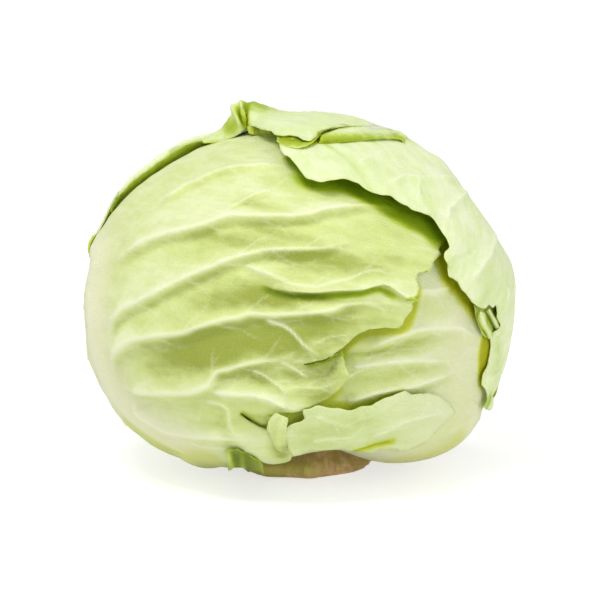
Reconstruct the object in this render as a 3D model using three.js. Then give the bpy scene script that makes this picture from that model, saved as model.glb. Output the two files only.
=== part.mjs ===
// Cabbage head, standing on the cut face of its stump.
//
// Millimetres, +Z up. The cut face lies on z = 0 with its middle at x = y = 0, and the front of the
// head faces -Y. A dense heart sits on the stump, and four loose leaves wrap it. Each leaf is a thin
// shell that follows the heart's rounded form at a height of its own, with pleats, ribs and a cut edge.

import * as THREE from 'three';
import { mergeVertices } from 'three/addons/utils/BufferGeometryUtils.js';

// ---------------------------------------------------------------- driving dimensions

// the heart's form: a rounded box-like ball, flatter below than above
const HEART_MIDDLE = new THREE.Vector3(-13, 0, 67.5);
const HEART_HALF_WIDTH = 84;
const HEART_HALF_DEPTH = 79;
const HEART_RISE = 76;
const HEART_DROP = 58.5;
const TOP_ROUNDNESS = 2.15;
const TOP_LEAN = 0.25;
const FOOT_ROUNDNESS = 4.3;
const FOOT_LEAN = 1.8;
const FOOT_FRONT = 0.7;
const SHOULDER_BULGE = 5;
const SHOULDER = directionAt(5, 8);
const SHOULDER_SPREAD = 0.6;

// the hollow under the heart that the stump grows into, and the notch that opens it to the front
const DIMPLE_DEPTH = 5;
const DIMPLE_INNER = 24;
const DIMPLE_OUTER = 44;
const NOTCH_RAISE = 9;
const NOTCH_X = 6;
const NOTCH_Y = -46;
const NOTCH_SPREAD = 21;
const HEART_GROOVES = 9;
const HEART_GROOVE_DEPTH = 1.1;
const HEART_CLEARANCE = 0.3;
const HEART_DETAIL = 8;

// the stump: a short cut stem with the stubs of cut leaf stalks on its front left
const STUMP_TOP = 13.4;
const STUMP_FOOT_RADIUS = 23;
const STUMP_WAIST_RADIUS = 25.5;
const STUMP_TOP_RADIUS = 21;
const STUMP_SIDES = 44;
const STUB_REACH = 18;

// leaves
const BLADE_THICKNESS = 1.2;
const EDGE_STEP = 6;
const BLADE_STEP = 9.5;
const CHART_RADIUS = 85;
const RAGGED_WAVE = 1.6;

// the front view that the front outlines are drawn in: u to the right and v up, in millimetres from
// the stump's foot, seen from a little above level and from well away
const VIEW_RISE = THREE.MathUtils.degToRad(12);
const VIEW_DISTANCE = 1500;
const VIEW_U = -6.6;
const VIEW_V = 72.6;

// how far before and past the spot nearest to the heart's middle a sight line is followed
const SIGHT_START = -140;
const SIGHT_END = 40;
const SIGHT_STEP = 2;
const SIGHT_HALVINGS = 14;

// ---------------------------------------------------------------- directions and the heart's form

function directionAt(longitude, latitude) {
  const turn = THREE.MathUtils.degToRad(longitude);
  const rise = THREE.MathUtils.degToRad(latitude);
  const level = Math.cos(rise);
  return new THREE.Vector3(level * Math.cos(turn), level * Math.sin(turn), Math.sin(rise));
}

function blend(from, to, value) {
  return THREE.MathUtils.smoothstep(value, from, to);
}

function heartRadius(direction) {
  const above = direction.z > 0;
  const across = Math.hypot(direction.x / HEART_HALF_WIDTH, direction.y / HEART_HALF_DEPTH);
  const along = Math.abs(direction.z) / (above ? HEART_RISE : HEART_DROP);
  const topRoundness = TOP_ROUNDNESS + TOP_LEAN * direction.x;
  const footRoundness = FOOT_ROUNDNESS + FOOT_LEAN * direction.x - FOOT_FRONT * blend(0.1, 0.7, -direction.y);
  const roundness = above ? topRoundness : footRoundness;
  let radius = (across ** roundness + along ** roundness) ** (-1 / roundness);
  radius += SHOULDER_BULGE * Math.exp(-((direction.angleTo(SHOULDER) / SHOULDER_SPREAD) ** 2));
  if (!above) {
    const x = HEART_MIDDLE.x + radius * direction.x;
    const y = HEART_MIDDLE.y + radius * direction.y;
    const hollow = 1 - blend(DIMPLE_INNER, DIMPLE_OUTER, Math.hypot(x, y));
    const notch = Math.exp(-(((x - NOTCH_X) ** 2 + (y - NOTCH_Y) ** 2) / NOTCH_SPREAD ** 2));
    radius -= (DIMPLE_DEPTH * hollow + NOTCH_RAISE * notch) / Math.max(0.5, -direction.z);
  }
  return radius;
}

function pointAt(direction, height) {
  return direction.clone().multiplyScalar(heartRadius(direction) + height).add(HEART_MIDDLE);
}

// a soft unevenness between -1 and 1 that has no seam anywhere on the ball
function unevenness(direction, waves) {
  let sum = 0;
  for (let i = 0; i < 6; i += 1) {
    const axis = directionAt(137.5 * i + 20, 62 * Math.sin(2.4 * i + 0.6));
    sum += Math.sin(waves * (1 + 0.13 * i) * axis.dot(direction) + 1.9 * i);
  }
  return sum / 3.2;
}

// ---------------------------------------------------------------- points drawn in the front view

const viewToward = new THREE.Vector3(0, Math.cos(VIEW_RISE), -Math.sin(VIEW_RISE));
const viewUp = new THREE.Vector3(0, Math.sin(VIEW_RISE), Math.cos(VIEW_RISE));
const viewTarget = new THREE.Vector3(VIEW_U, 0, VIEW_V / Math.cos(VIEW_RISE));
const viewEye = viewTarget.clone().addScaledVector(viewToward, -VIEW_DISTANCE);

function sightLine(u, v) {
  const through = viewTarget.clone().addScaledVector(viewUp, v - VIEW_V);
  through.x += u - VIEW_U;
  const toward = through.sub(viewEye).normalize();
  const nearest = HEART_MIDDLE.clone().sub(viewEye).dot(toward);
  return (past) => viewEye.clone().addScaledVector(toward, nearest + past).sub(HEART_MIDDLE);
}

function spareHeight(spot, heightAt, lift) {
  const direction = spot.clone().normalize();
  return spot.length() - heartRadius(direction) - heightAt(direction) - lift;
}

// where the sight line through (u, v) first meets the leaf's form, or passes nearest to it
function seenDirection(u, v, heightAt, lift) {
  const spotAt = sightLine(u, v);
  const spareAt = (past) => spareHeight(spotAt(past), heightAt, lift);
  let far = SIGHT_START;
  let closest = SIGHT_START;
  while (far < SIGHT_END && spareAt(far) > 0) {
    far += SIGHT_STEP;
    if (spareAt(far) < spareAt(closest)) closest = far;
  }
  if (far >= SIGHT_END) return spotAt(closest).normalize();
  let near = far - SIGHT_STEP;
  for (let i = 0; i < SIGHT_HALVINGS; i += 1) {
    const middle = (near + far) / 2;
    if (spareAt(middle) > 0) near = middle;
    else far = middle;
  }
  return spotAt(far).normalize();
}

// Points of outlines and veins are { direction, lift }, where lift is the height above the leaf's own.
// front: [u, v, lift] on the side that faces the viewer
function front(heightAt, ...points) {
  return points.map(([u, v, lift = 0]) => ({ direction: seenDirection(u, v, heightAt, lift), lift }));
}

// rim: [u, v, past] on the head's outline, this far past the spot where the sight line is nearest
function rim(heightAt, ...points) {
  return points.map(([u, v, past]) => {
    const spot = sightLine(u, v)(past);
    return { direction: spot.clone().normalize(), lift: spareHeight(spot, heightAt, 0) };
  });
}

// hidden: [longitude, latitude, lift] in degrees about the heart's middle, 0 to the right, 90 behind
function hidden(...points) {
  return points.map(([longitude, latitude, lift = 0]) => (
    { direction: directionAt(longitude, latitude), lift, ragged: true }));
}

// base: [turn, reach, lift], reach being the distance from the stump's axis on the underside
function base(...points) {
  return points.map(([turn, reach, lift = 0]) => {
    const spot = directionAt(turn, 0).multiplyScalar(reach);
    spot.z = HEART_MIDDLE.z - HEART_DROP + 2;
    return { direction: spot.sub(HEART_MIDDLE).normalize(), lift };
  });
}

// a rounded swelling of a leaf about one direction
function swelling(direction, longitude, latitude, spread) {
  return Math.exp(-((direction.angleTo(directionAt(longitude, latitude)) / spread) ** 2));
}

// ---------------------------------------------------------------- a flat chart of each leaf

// distances from the chart's middle, and bearings there, are true to the ball
function makeChart(longitude, latitude) {
  const middle = directionAt(longitude, latitude);
  const east = directionAt(longitude + 90, 0);
  const north = middle.clone().cross(east);
  const flatten = (direction) => {
    const angle = middle.angleTo(direction);
    const flat = new THREE.Vector2(direction.dot(east), direction.dot(north));
    return flat.setLength(angle * CHART_RADIUS);
  };
  const wrap = (flat) => {
    const angle = flat.length() / CHART_RADIUS;
    const side = east.clone().multiplyScalar(flat.x).addScaledVector(north, flat.y);
    if (angle > 0) side.setLength(Math.sin(angle));
    return side.addScaledVector(middle, Math.cos(angle));
  };
  return { flatten, wrap };
}

function nearestOnSegment(point, start, end) {
  const run = end.clone().sub(start);
  const reach = point.clone().sub(start);
  const share = THREE.MathUtils.clamp(reach.dot(run) / run.lengthSq(), 0, 1);
  const away = reach.clone().addScaledVector(run, -share);
  return { share, distance: away.length(), side: run.cross(reach) >= 0 ? 1 : -1 };
}

function nearestOnPath(point, path, closed) {
  let best = { distance: Infinity };
  const last = closed ? path.length : path.length - 1;
  for (let i = 0; i < last; i += 1) {
    const found = nearestOnSegment(point, path[i], path[(i + 1) % path.length]);
    if (found.distance < best.distance) best = { ...found, at: i + found.share };
  }
  return best;
}

function insideOutline(point, outline) {
  let inside = false;
  for (let i = 0, j = outline.length - 1; i < outline.length; j = i, i += 1) {
    const a = outline[i];
    const b = outline[j];
    const crosses = (a.y > point.y) !== (b.y > point.y);
    if (crosses && point.x < (b.x - a.x) * (point.y - a.y) / (b.y - a.y) + a.x) inside = !inside;
  }
  return inside;
}

// splits every stretch of an outline or path that is longer than one step, and waves ragged stretches
function subdivide(path, step, closed) {
  const result = [];
  const last = closed ? path.length : path.length - 1;
  for (let i = 0; i < last; i += 1) {
    const start = path[i];
    const end = path[(i + 1) % path.length];
    const count = Math.max(1, Math.round(start.flat.distanceTo(end.flat) / step));
    for (let k = 0; k < count; k += 1) {
      const share = k / count;
      const flat = start.flat.clone().lerp(end.flat, share);
      if (start.ragged && end.ragged) {
        const along = end.flat.clone().sub(start.flat).normalize();
        const wave = Math.sin(1.7 * result.length) + Math.sin(0.6 * result.length + 1);
        flat.add(new THREE.Vector2(along.y, -along.x).multiplyScalar(RAGGED_WAVE * wave));
      }
      result.push({ flat, lift: start.lift + (end.lift - start.lift) * share });
    }
  }
  if (!closed) result.push(path[path.length - 1]);
  return result;
}

// ---------------------------------------------------------------- triangles between scattered points

function circumcircle(a, b, c) {
  const scale = 2 * (a.x * (b.y - c.y) + b.x * (c.y - a.y) + c.x * (a.y - b.y));
  const x = (a.lengthSq() * (b.y - c.y) + b.lengthSq() * (c.y - a.y) + c.lengthSq() * (a.y - b.y)) / scale;
  const y = (a.lengthSq() * (c.x - b.x) + b.lengthSq() * (a.x - c.x) + c.lengthSq() * (b.x - a.x)) / scale;
  const middle = new THREE.Vector2(x, y);
  return { middle, reach: middle.distanceToSquared(a) };
}

// adds the points one by one, and refills the hole that each opens (Bowyer and Watson's method)
function triangulate(points) {
  const far = 4000;
  const corners = [new THREE.Vector2(-far, -far), new THREE.Vector2(far, -far), new THREE.Vector2(0, far)];
  const all = [...points, ...corners];
  const build = (i, j, k) => ({ ids: [i, j, k], ...circumcircle(all[i], all[j], all[k]) });
  let triangles = [build(points.length, points.length + 1, points.length + 2)];
  points.forEach((point, index) => {
    const edges = new Map();
    const kept = [];
    for (const triangle of triangles) {
      if (triangle.middle.distanceToSquared(point) >= triangle.reach) {
        kept.push(triangle);
        continue;
      }
      const [i, j, k] = triangle.ids;
      for (const [from, to] of [[i, j], [j, k], [k, i]]) {
        const twin = `${to},${from}`;
        if (edges.has(twin)) edges.delete(twin);
        else edges.set(`${from},${to}`, [from, to]);
      }
    }
    for (const [from, to] of edges.values()) kept.push(build(from, to, index));
    triangles = kept;
  });
  return triangles.map((triangle) => triangle.ids).filter((ids) => ids.every((id) => id < points.length));
}

// ---------------------------------------------------------------- ribs and pleats

// A fold of the blade runs along a path: { path, height, above, below, groove }. It rises gently over
// the width above the path, falls over the width below it, and may have a groove beyond that.
function foldHeight(flat, fold) {
  const found = nearestOnPath(flat, fold.path, false);
  const share = found.at / (fold.path.length - 1);
  const taper = blend(-0.02, fold.fadeIn, share) * (1 - blend(1 - fold.fadeOut, 1.02, share));
  const width = found.side > 0 ? fold.above : fold.below;
  const ridge = Math.exp(-((found.distance / width) ** 2));
  const groove = found.side > 0 ? 0 : Math.exp(-(((found.distance - 1.8 * fold.below) / fold.below) ** 2));
  return { ridge: fold.height * taper * ridge, groove: fold.groove * taper * groove };
}

function foldsHeight(flat, folds) {
  let ridge = 0;
  let groove = 0;
  for (const fold of folds) {
    const height = foldHeight(flat, fold);
    ridge = Math.max(ridge, height.ridge);
    groove = Math.max(groove, height.groove);
  }
  return ridge - groove;
}

// side veins in even steps along a midrib, each leaving it sideways and bending towards the tip
function sideVeins({ midrib, side, count, reach, sweep, from = 0.12, to = 0.9, ...shape }) {
  const veins = [];
  for (let i = 0; i < count; i += 1) {
    const share = from + (to - from) * i / (count - 1);
    const at = share * (midrib.length - 1);
    const index = Math.min(Math.floor(at), midrib.length - 2);
    const start = midrib[index].clone().lerp(midrib[index + 1], at - index);
    const along = midrib[index + 1].clone().sub(midrib[index]).normalize();
    const out = new THREE.Vector2(-along.y, along.x).multiplyScalar(side);
    const length = reach * Math.sin(Math.PI * (0.25 + 0.6 * share));
    const path = [];
    for (let k = 0; k <= 6; k += 1) {
      const run = k / 6;
      path.push(start.clone().addScaledVector(out, length * run).addScaledVector(along, sweep * run ** 1.7));
    }
    veins.push({ path, height: 1.6, above: 6, below: 4, groove: 0, fadeIn: 0.05, fadeOut: 0.6, ...shape });
  }
  return veins;
}

// ---------------------------------------------------------------- leaves

// a leaf's own points: the cut edge, rows along its folds, and an even field between them
function leafPoints(outline, folds) {
  const points = outline.map((corner) => corner.flat.clone());
  const flats = points.slice();
  const keep = (point, edgeGap, gap) => {
    if (!insideOutline(point, flats)) return;
    if (nearestOnPath(point, flats, true).distance < edgeGap) return;
    if (points.some((other) => other.distanceTo(point) < gap)) return;
    points.push(point);
  };
  for (const fold of folds.filter((each) => each.height >= 1.5)) {
    const rows = subdivide(fold.path.map((flat) => ({ flat, lift: 0 })), EDGE_STEP * 1.1, false);
    rows.forEach((row, i) => {
      keep(row.flat, 3, 3.6);
      if (i === 0) return;
      const along = row.flat.clone().sub(rows[i - 1].flat).normalize();
      const down = new THREE.Vector2(along.y, -along.x);
      keep(row.flat.clone().addScaledVector(down, Math.max(3, fold.below * 1.2)), 3, 3.6);
    });
  }
  const span = 3 * CHART_RADIUS;
  for (let y = -span, row = 0; y < span; y += BLADE_STEP * 0.866, row += 1) {
    for (let x = -span + (row % 2) * BLADE_STEP / 2; x < span; x += BLADE_STEP) {
      keep(new THREE.Vector2(x + 0.3 * Math.sin(7 * y), y + 0.3 * Math.sin(9 * x)), 4.5, BLADE_STEP * 0.62);
    }
  }
  return points;
}

function makeLeafGeometry(leaf) {
  const { chart, heightAt } = leaf;
  const corners = leaf.outline.map((corner) => ({ ...corner, flat: chart.flatten(corner.direction) }));
  const outline = subdivide(corners, EDGE_STEP, true);
  const flats = outline.map((corner) => corner.flat);
  const points = leafPoints(outline, leaf.pleats);
  const triangles = triangulate(points).filter((ids) => {
    const centre = new THREE.Vector2();
    for (const id of ids) centre.addScaledVector(points[id], 1 / 3);
    return insideOutline(centre, flats);
  });

  const under = [];
  const over = [];
  for (const point of points) {
    const direction = chart.wrap(point);
    const edge = nearestOnPath(point, flats, true);
    const index = Math.floor(edge.at) % outline.length;
    const next = outline[(index + 1) % outline.length];
    const edgeLift = outline[index].lift + (next.lift - outline[index].lift) * (edge.at % 1);
    const falloff = Math.exp(-((edge.distance / leaf.liftReach) ** 2));
    const swell = leaf.swell * unevenness(direction, 7) + 0.35 * leaf.swell * unevenness(direction, 21);
    const relief = Math.max(0, foldsHeight(point, leaf.pleats) + swell + leaf.swell);
    const floor = heightAt(direction) + relief * blend(-2, 9, edge.distance + 4 * Math.max(0, edgeLift));
    const inner = floor + edgeLift * falloff;
    const rib = Math.max(0, foldsHeight(point, leaf.ribs));
    under.push(pointAt(direction, inner));
    over.push(pointAt(direction, inner + BLADE_THICKNESS + rib));
  }
  return shellGeometry(under, over, triangles);
}

// two faces with the same triangles, joined by a strip all round the cut edge
function shellGeometry(under, over, triangles) {
  const count = under.length;
  const index = [];
  const open = new Map();
  for (const [i, j, k] of triangles) {
    index.push(i + count, j + count, k + count, i, k, j);
    for (const [from, to] of [[i, j], [j, k], [k, i]]) {
      if (open.has(`${to},${from}`)) open.delete(`${to},${from}`);
      else open.set(`${from},${to}`, [from, to]);
    }
  }
  for (const [from, to] of open.values()) index.push(from, to, to + count, from, to + count, from + count);
  const geometry = new THREE.BufferGeometry().setFromPoints([...under, ...over]);
  geometry.setIndex(index);
  geometry.computeVertexNormals();
  return geometry;
}

// the big left leaf, whose pleats sweep right from a broad midrib on the left outline
function leftLeaf() {
  const heightAt = () => 2.6;
  const chart = makeChart(222, 8);
  const draw = (...points) => front(heightAt, ...points).map(({ direction }) => chart.flatten(direction));
  const behind = (...points) => hidden(...points).map(({ direction }) => chart.flatten(direction));
  const under = (...points) => base(...points).map(({ direction }) => chart.flatten(direction));
  const pleat = (rise, above, below, groove, path) => (
    { path, height: rise, above, below, groove, fadeIn: 0.15, fadeOut: 0.25 });
  const midrib = [
    ...under([192, 29], [200, 42]),
    ...draw([-57, 7.5], [-68, 13.5], [-77, 20.5], [-84, 27.5], [-89.5, 36], [-93.5, 45.5], [-95.5, 53]),
    ...draw([-96.5, 64], [-97, 72.5], [-96.5, 81.5], [-94.5, 89.5]),
    ...behind([172, 38], [160, 52], [140, 64]),
  ];
  return {
    heightAt,
    chart,
    liftReach: 13,
    swell: 0.3,
    outline: [
      ...front(heightAt, [54, 94.5, 1], [54.5, 92.5, 2], [51.5, 87, 2], [45.5, 84.5, 2.5], [44, 79.5, 2.5]),
      ...front(heightAt, [42, 74, 3.5], [42.5, 70.5, 3], [42, 67.5, 1], [38.5, 61.5, 1], [31, 60.5, 1.5]),
      ...front(heightAt, [24, 60, 2], [20, 58, 2], [15.5, 55, 2.5], [12.5, 51.5, 2.5], [11.5, 47, 1]),
      ...front(heightAt, [12, 44, 2], [15, 39.5, 4], [13, 37.5, 3], [11, 34, 2], [6.5, 30.5, 1.5]),
      ...front(heightAt, [2, 27.5, 1], [-4.5, 24.5, 1], [-12, 24, 1], [-19, 23.5, 1], [-26, 22.5, 0.5]),
      ...front(heightAt, [-33, 23, 0], [-28.5, 18, 0], [-23, 15, 0.5], [-20, 18, 2], [-16.5, 20.5, 3.5]),
      ...front(heightAt, [-12, 19.5, 4], [-13, 14, 3], [-16.5, 10, 1.5], [-20, 7, 1.5]),
      ...base([250, 64, 1], [243, 54, 0.5], [234, 49], [223, 41], [212, 33], [200, 28.5], [180, 28.5]),
      ...base([160, 30], [146, 40], [136, 54]),
      ...hidden([121, -40], [113, -22], [108, -4], [110, 14], [104, 30], [96, 44], [78, 56], [40, 62]),
      ...hidden([5, 64], [-22, 60], [-34, 50], [-36, 38]),
    ],
    pleats: [
      pleat(2.4, 11, 6, 0, draw([-68, 115.5], [-57, 122], [-44, 127.5], [-28.5, 130.5], [-4, 130.5])),
      pleat(3.6, 9, 5, 0.4, draw(
        [-86, 89.5], [-72.5, 97.5], [-59.5, 101.5], [-45.5, 105], [-37.5, 108],
        [-11, 108], [2, 110.5], [15.5, 112.5], [37.5, 112.5])),
      pleat(2, 6, 5, 0, draw([-38, 111.5], [-28.5, 116.5], [-20, 120])),
      pleat(3.2, 11, 6, 0.4, draw(
        [-89.5, 53], [-86, 64.5], [-77, 71], [-64, 78], [-46, 86], [-28.5, 92],
        [-11, 94], [3, 94.5], [13, 97.5], [22, 100])),
      pleat(4, 6, 3.5, 0.6, draw(
        [-33, 89], [-20, 83.5], [-11, 79.5], [-2, 78], [9, 79],
        [20.5, 80.5], [29, 81.5], [35, 78.5], [42, 74])),
      pleat(3.2, 9, 6, 0.4, draw(
        [-87, 37.5], [-86, 49.5], [-77, 55.5], [-57, 58.5], [-39.5, 64], [-20, 66],
        [6.5, 68], [20, 71], [37.5, 70.5])),
      pleat(1.8, 5, 4, 0, draw([-22, 64], [-11, 59.5], [-3, 51.5], [2, 48.5])),
      pleat(3, 10, 6, 0.4, draw(
        [-82.5, 34], [-61.5, 32.5], [-48.5, 34.5], [-42, 42], [-28.5, 45.5], [-12, 47.5], [3, 52], [12, 53])),
      pleat(1.8, 5, 4, 0, draw([-28.5, 42.5], [-20, 38.5], [-13, 33], [-13.5, 28])),
      pleat(1.8, 6, 4, 0, draw([-46, 33], [-26.5, 31.5], [-11, 25.5], [-5, 24.5])),
      pleat(2, 6, 4, 0, draw([-79, 30], [-68, 17.5], [-57, 14], [-39.5, 13], [-28.5, 9])),
      ...sideVeins({ midrib, side: -1, count: 8, reach: 62, sweep: 34, height: 2.4, above: 9, below: 7 }),
    ],
    ribs: [
      { path: midrib, height: 2.6, above: 9, below: 9, groove: 0, fadeIn: 0.01, fadeOut: 0.6 },
    ],
  };
}

// the right leaf, seen low on the right between the others, with a broad pale base
function rightLeaf() {
  const heightAt = () => 0.5;
  const chart = makeChart(-25, 0);
  const draw = (...points) => front(heightAt, ...points).map(({ direction }) => chart.flatten(direction));
  const behind = (...points) => hidden(...points).map(({ direction }) => chart.flatten(direction));
  const pleat = (rise, above, below, path) => (
    { path, height: rise, above, below, groove: 0, fadeIn: 0.2, fadeOut: 0.25 });
  const midrib = [
    ...base([-26, 29], [-24, 44]).map(({ direction }) => chart.flatten(direction)),
    ...behind([-22, -40], [-16, -20], [-12, 0], [-12, 18], [-18, 34]),
  ];
  return {
    heightAt,
    chart,
    liftReach: 10,
    swell: 0.15,
    outline: [
      ...base([-128, 34], [-104, 29], [-80, 28.5], [-50, 28.5], [-20, 28.5], [10, 28.5], [34, 31], [46, 42]),
      ...hidden([50, -46], [57, -34]),
      ...hidden([64, -14], [66, 6], [58, 24], [40, 38], [12, 47], [-18, 50], [-46, 46], [-68, 34]),
      ...hidden([-82, 20], [-92, 4], [-100, -14], [-104, -34], [-100, -52]),
    ],
    pleats: [
      pleat(1.6, 6, 6, draw([47, 77], [52, 77], [60, 78])),
      pleat(2.4, 8, 5, draw([25, 53.5], [37.5, 57.5], [48.5, 60.5], [61.5, 60.5], [72, 56])),
      pleat(1.6, 5, 4, draw([18, 44], [33, 46], [50.5, 46.5], [60, 46])),
      pleat(2, 7, 5, draw([16, 29.5], [30, 34], [42, 36.5], [52, 39], [64, 43])),
      pleat(1.2, 6, 6, draw([24, 20], [42, 23], [58, 28])),
    ],
    ribs: [
      { path: midrib, height: 1.6, above: 13, below: 13, groove: 0, fadeIn: 0.01, fadeOut: 0.5 },
      ...sideVeins({ midrib, side: -1, count: 5, reach: 48, sweep: 22, height: 0.9, above: 5, below: 5 }),
    ],
  };
}

// the outermost leaf, which grows up the back and folds over the top and the right side
function backLeaf() {
  const heightAt = (direction) => 7.2
    + 3.5 * swelling(direction, 2, 2, 0.5)
    + 4.5 * swelling(direction, 70, 80, 0.5)
    + 3.6 * swelling(direction, 19, 57, 0.2)
    - 2.8 * swelling(direction, 6, 28, 0.2)
    - 3.6 * blend(0.5, 0.85, -direction.z);
  const chart = makeChart(62, 30);
  const draw = (...points) => front(heightAt, ...points).map(({ direction }) => chart.flatten(direction));
  const behind = (...points) => hidden(...points).map(({ direction }) => chart.flatten(direction));
  const pleat = (rise, above, below, path) => (
    { path, height: rise, above, below, groove: 0, fadeIn: 0.2, fadeOut: 0.25 });
  const midrib = [
    ...base([88, 29], [88, 42]).map(({ direction }) => chart.flatten(direction)),
    ...behind([88, -40], [92, -18], [96, 4], [98, 26], [100, 48], [110, 70]),
  ];
  return {
    heightAt,
    chart,
    liftReach: 14,
    swell: 0.7,
    outline: [
      ...front(heightAt, [-28, 150, 3], [-20, 147, 3], [-16, 142.5, 3], [-15, 137.5, 2.5], [-9, 132, 3]),
      ...front(heightAt, [-2, 125.5, 3], [6.5, 124, 3], [19, 123, 3], [24, 119.5, 3.5], [33, 117.5, 3.5]),
      ...front(heightAt, [42, 112, 4], [50.5, 108, 4], [55.5, 101.5, 4], [58.5, 95.5, 4], [56.5, 91, 3]),
      ...front(heightAt, [58.5, 83, 3], [62.5, 80, 3.5], [68, 72, 3.5], [72.5, 69, 3.5], [78, 69.5, 3]),
      ...front(heightAt, [80.5, 67, 2.5], [81, 61.5, 1.5], [77.5, 57, 1], [76.5, 48.5, 0.5], [73.5, 36, 0.5]),
      ...front(heightAt, [75.5, 31, 0.5], [74.5, 25, 0]),
      ...rim(heightAt, [79, 25.5, 8]),
      ...hidden([12, -26, 1], [20, -31, 1], [32, -40, 1], [44, -50, 0.5]),
      ...base([54, 42], [62, 31], [80, 28.5], [104, 28.5], [120, 32], [128, 44]),
      ...hidden([124, -50, 0], [132, -38, 0.5], [140, -24, 1], [146, -10, 0.5], [152, 4, 0]),
      ...rim(heightAt, [-97, 91, 13], [-96.5, 99, 11], [-92.5, 107.5, 10], [-87.5, 116, 10], [-81, 123, 9]),
      ...rim(heightAt, [-72.5, 129.5, 8], [-64, 135.5, 7], [-55, 140.5, 6], [-45, 144, 4], [-38.5, 150, 0]),
      ...rim(heightAt, [-36.5, 156.5, -3], [-33, 159, -4]),
    ],
    pleats: [
      pleat(2.2, 6, 5, draw([1, 144], [9, 147.5], [20, 148], [38, 147])),
      pleat(2, 7, 5, draw([18, 131], [28.5, 137], [35, 139])),
      pleat(1.8, 6, 4, draw([30.5, 121], [38.5, 126.5], [53.5, 126.5], [64, 122])),
      pleat(1.6, 5, 4, draw([56.5, 107], [60.5, 114.5], [66, 120])),
      pleat(1.8, 6, 5, draw([67, 80], [73, 89], [78, 98], [80, 104])),
      ...sideVeins({ midrib, side: -1, count: 7, reach: 82, sweep: 44, height: 2.6, above: 10, below: 7 }),
      ...sideVeins({ midrib, side: 1, count: 7, reach: 72, sweep: 40, height: 2.6, above: 7, below: 10 }),
    ],
    ribs: [
      { path: midrib, height: 3, above: 9, below: 9, groove: 0, fadeIn: 0.01, fadeOut: 0.7 },
    ],
  };
}

// what is left of a torn outer leaf, low on the right above the stump
function lowerLeaf() {
  const heightAt = (direction) => 4.2 - 1.5 * blend(0.2, 0.6, direction.x);
  const chart = makeChart(-75, -40);
  const draw = (...points) => front(heightAt, ...points).map(({ direction }) => chart.flatten(direction));
  const pleat = (rise, above, below, path) => (
    { path, height: rise, above, below, groove: 0, fadeIn: 0.2, fadeOut: 0.3 });
  return {
    heightAt,
    chart,
    liftReach: 8,
    swell: 0.25,
    outline: [
      ...front(heightAt, [-4.5, 20.5, 0.5], [-2, 24, 1], [5.5, 25.5, 1], [15.5, 24, 1], [25, 26.5, 1.5]),
      ...front(heightAt, [35, 31, 1.5], [42.5, 31, 1], [50.5, 31.5, 0.5], [55, 30, 0.5], [61, 25, 1]),
      ...front(heightAt, [58.5, 20, 1], [52, 13.5, 0.5], [47, 9.5, 0.5]),
      ...base([-40, 55], [-41, 42], [-47, 31], [-58, 31], [-62, 42]),
      ...front(heightAt, [26, 5.5, 0.5], [18, 6, 0.8], [10, 7, 0.8], [2, 6.3, 0.8], [-5, 5, 0.8]),
      ...front(heightAt, [-10.5, 5.5, 0.8], [-13, 12, 1], [-12, 16, 1], [-8, 19, 1]),
    ],
    pleats: [
      pleat(1.8, 7, 4, draw([24, 12.5], [33, 16.5], [46, 22], [59, 25])),
      pleat(1.2, 6, 5, draw([-2, 11], [6.5, 12.5], [20, 13])),
    ],
    ribs: [],
  };
}

// ---------------------------------------------------------------- heart and stump

function heartGeometry() {
  const facets = new THREE.IcosahedronGeometry(1, HEART_DETAIL);
  const ball = mergeVertices(facets.deleteAttribute('normal').deleteAttribute('uv'));
  const position = ball.attributes.position;
  const direction = new THREE.Vector3();
  for (let i = 0; i < position.count; i += 1) {
    direction.fromBufferAttribute(position, i).normalize();
    const turn = Math.atan2(direction.y, direction.x) + 0.9 * direction.z;
    const groove = HEART_GROOVE_DEPTH * Math.abs(Math.sin(HEART_GROOVES * turn / 2)) ** 0.6;
    const level = Math.hypot(direction.x, direction.y);
    const spot = pointAt(direction, (groove - HEART_GROOVE_DEPTH) * level - HEART_CLEARANCE);
    position.setXYZ(i, spot.x, spot.y, spot.z);
  }
  ball.computeVertexNormals();
  return ball;
}

// rings from the cut face up, uneven like a cut stem, with three stubs low on the front left
function stumpGeometry() {
  const rings = [
    [0, STUMP_FOOT_RADIUS, 0],
    [1.2, STUMP_FOOT_RADIUS + 1.2, 0.6],
    [3, STUMP_WAIST_RADIUS, 1],
    [4.6, STUMP_WAIST_RADIUS, 0.8],
    [7.5, STUMP_WAIST_RADIUS - 1.5, 0.1],
    [10.5, STUMP_TOP_RADIUS + 1, 0],
    [STUMP_TOP, STUMP_TOP_RADIUS, 0],
  ];
  const points = rings.flatMap(([z, radius, stub]) => {
    const ring = [];
    for (let i = 0; i < STUMP_SIDES; i += 1) {
      const turn = 2 * Math.PI * i / STUMP_SIDES;
      const uneven = 0.8 * Math.sin(3 * turn + 1) + 0.5 * Math.sin(7 * turn);
      const lobe = Math.max(0, Math.cos(turn - 3.95)) ** 14 + 0.6 * Math.max(0, Math.cos(turn - 4.6)) ** 30;
      const reach = radius + (z > 0 ? uneven : 0.4 * uneven) + STUB_REACH * stub * lobe;
      ring.push(new THREE.Vector3(reach * Math.cos(turn), reach * Math.sin(turn), z));
    }
    return ring;
  });
  points.push(new THREE.Vector3(0, 0, 0), new THREE.Vector3(0, 0, STUMP_TOP));
  const index = [];
  for (let i = 0; i < STUMP_SIDES; i += 1) {
    const next = (i + 1) % STUMP_SIDES;
    for (let level = 0; level < rings.length - 1; level += 1) {
      const low = level * STUMP_SIDES;
      const high = low + STUMP_SIDES;
      index.push(low + i, low + next, high + next, low + i, high + next, high + i);
    }
    const top = (rings.length - 1) * STUMP_SIDES;
    index.push(next, i, points.length - 2, top + i, top + next, points.length - 1);
  }
  const geometry = new THREE.BufferGeometry().setFromPoints(points);
  geometry.setIndex(index);
  geometry.computeVertexNormals();
  return geometry;
}

// ---------------------------------------------------------------- the assembly

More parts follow.
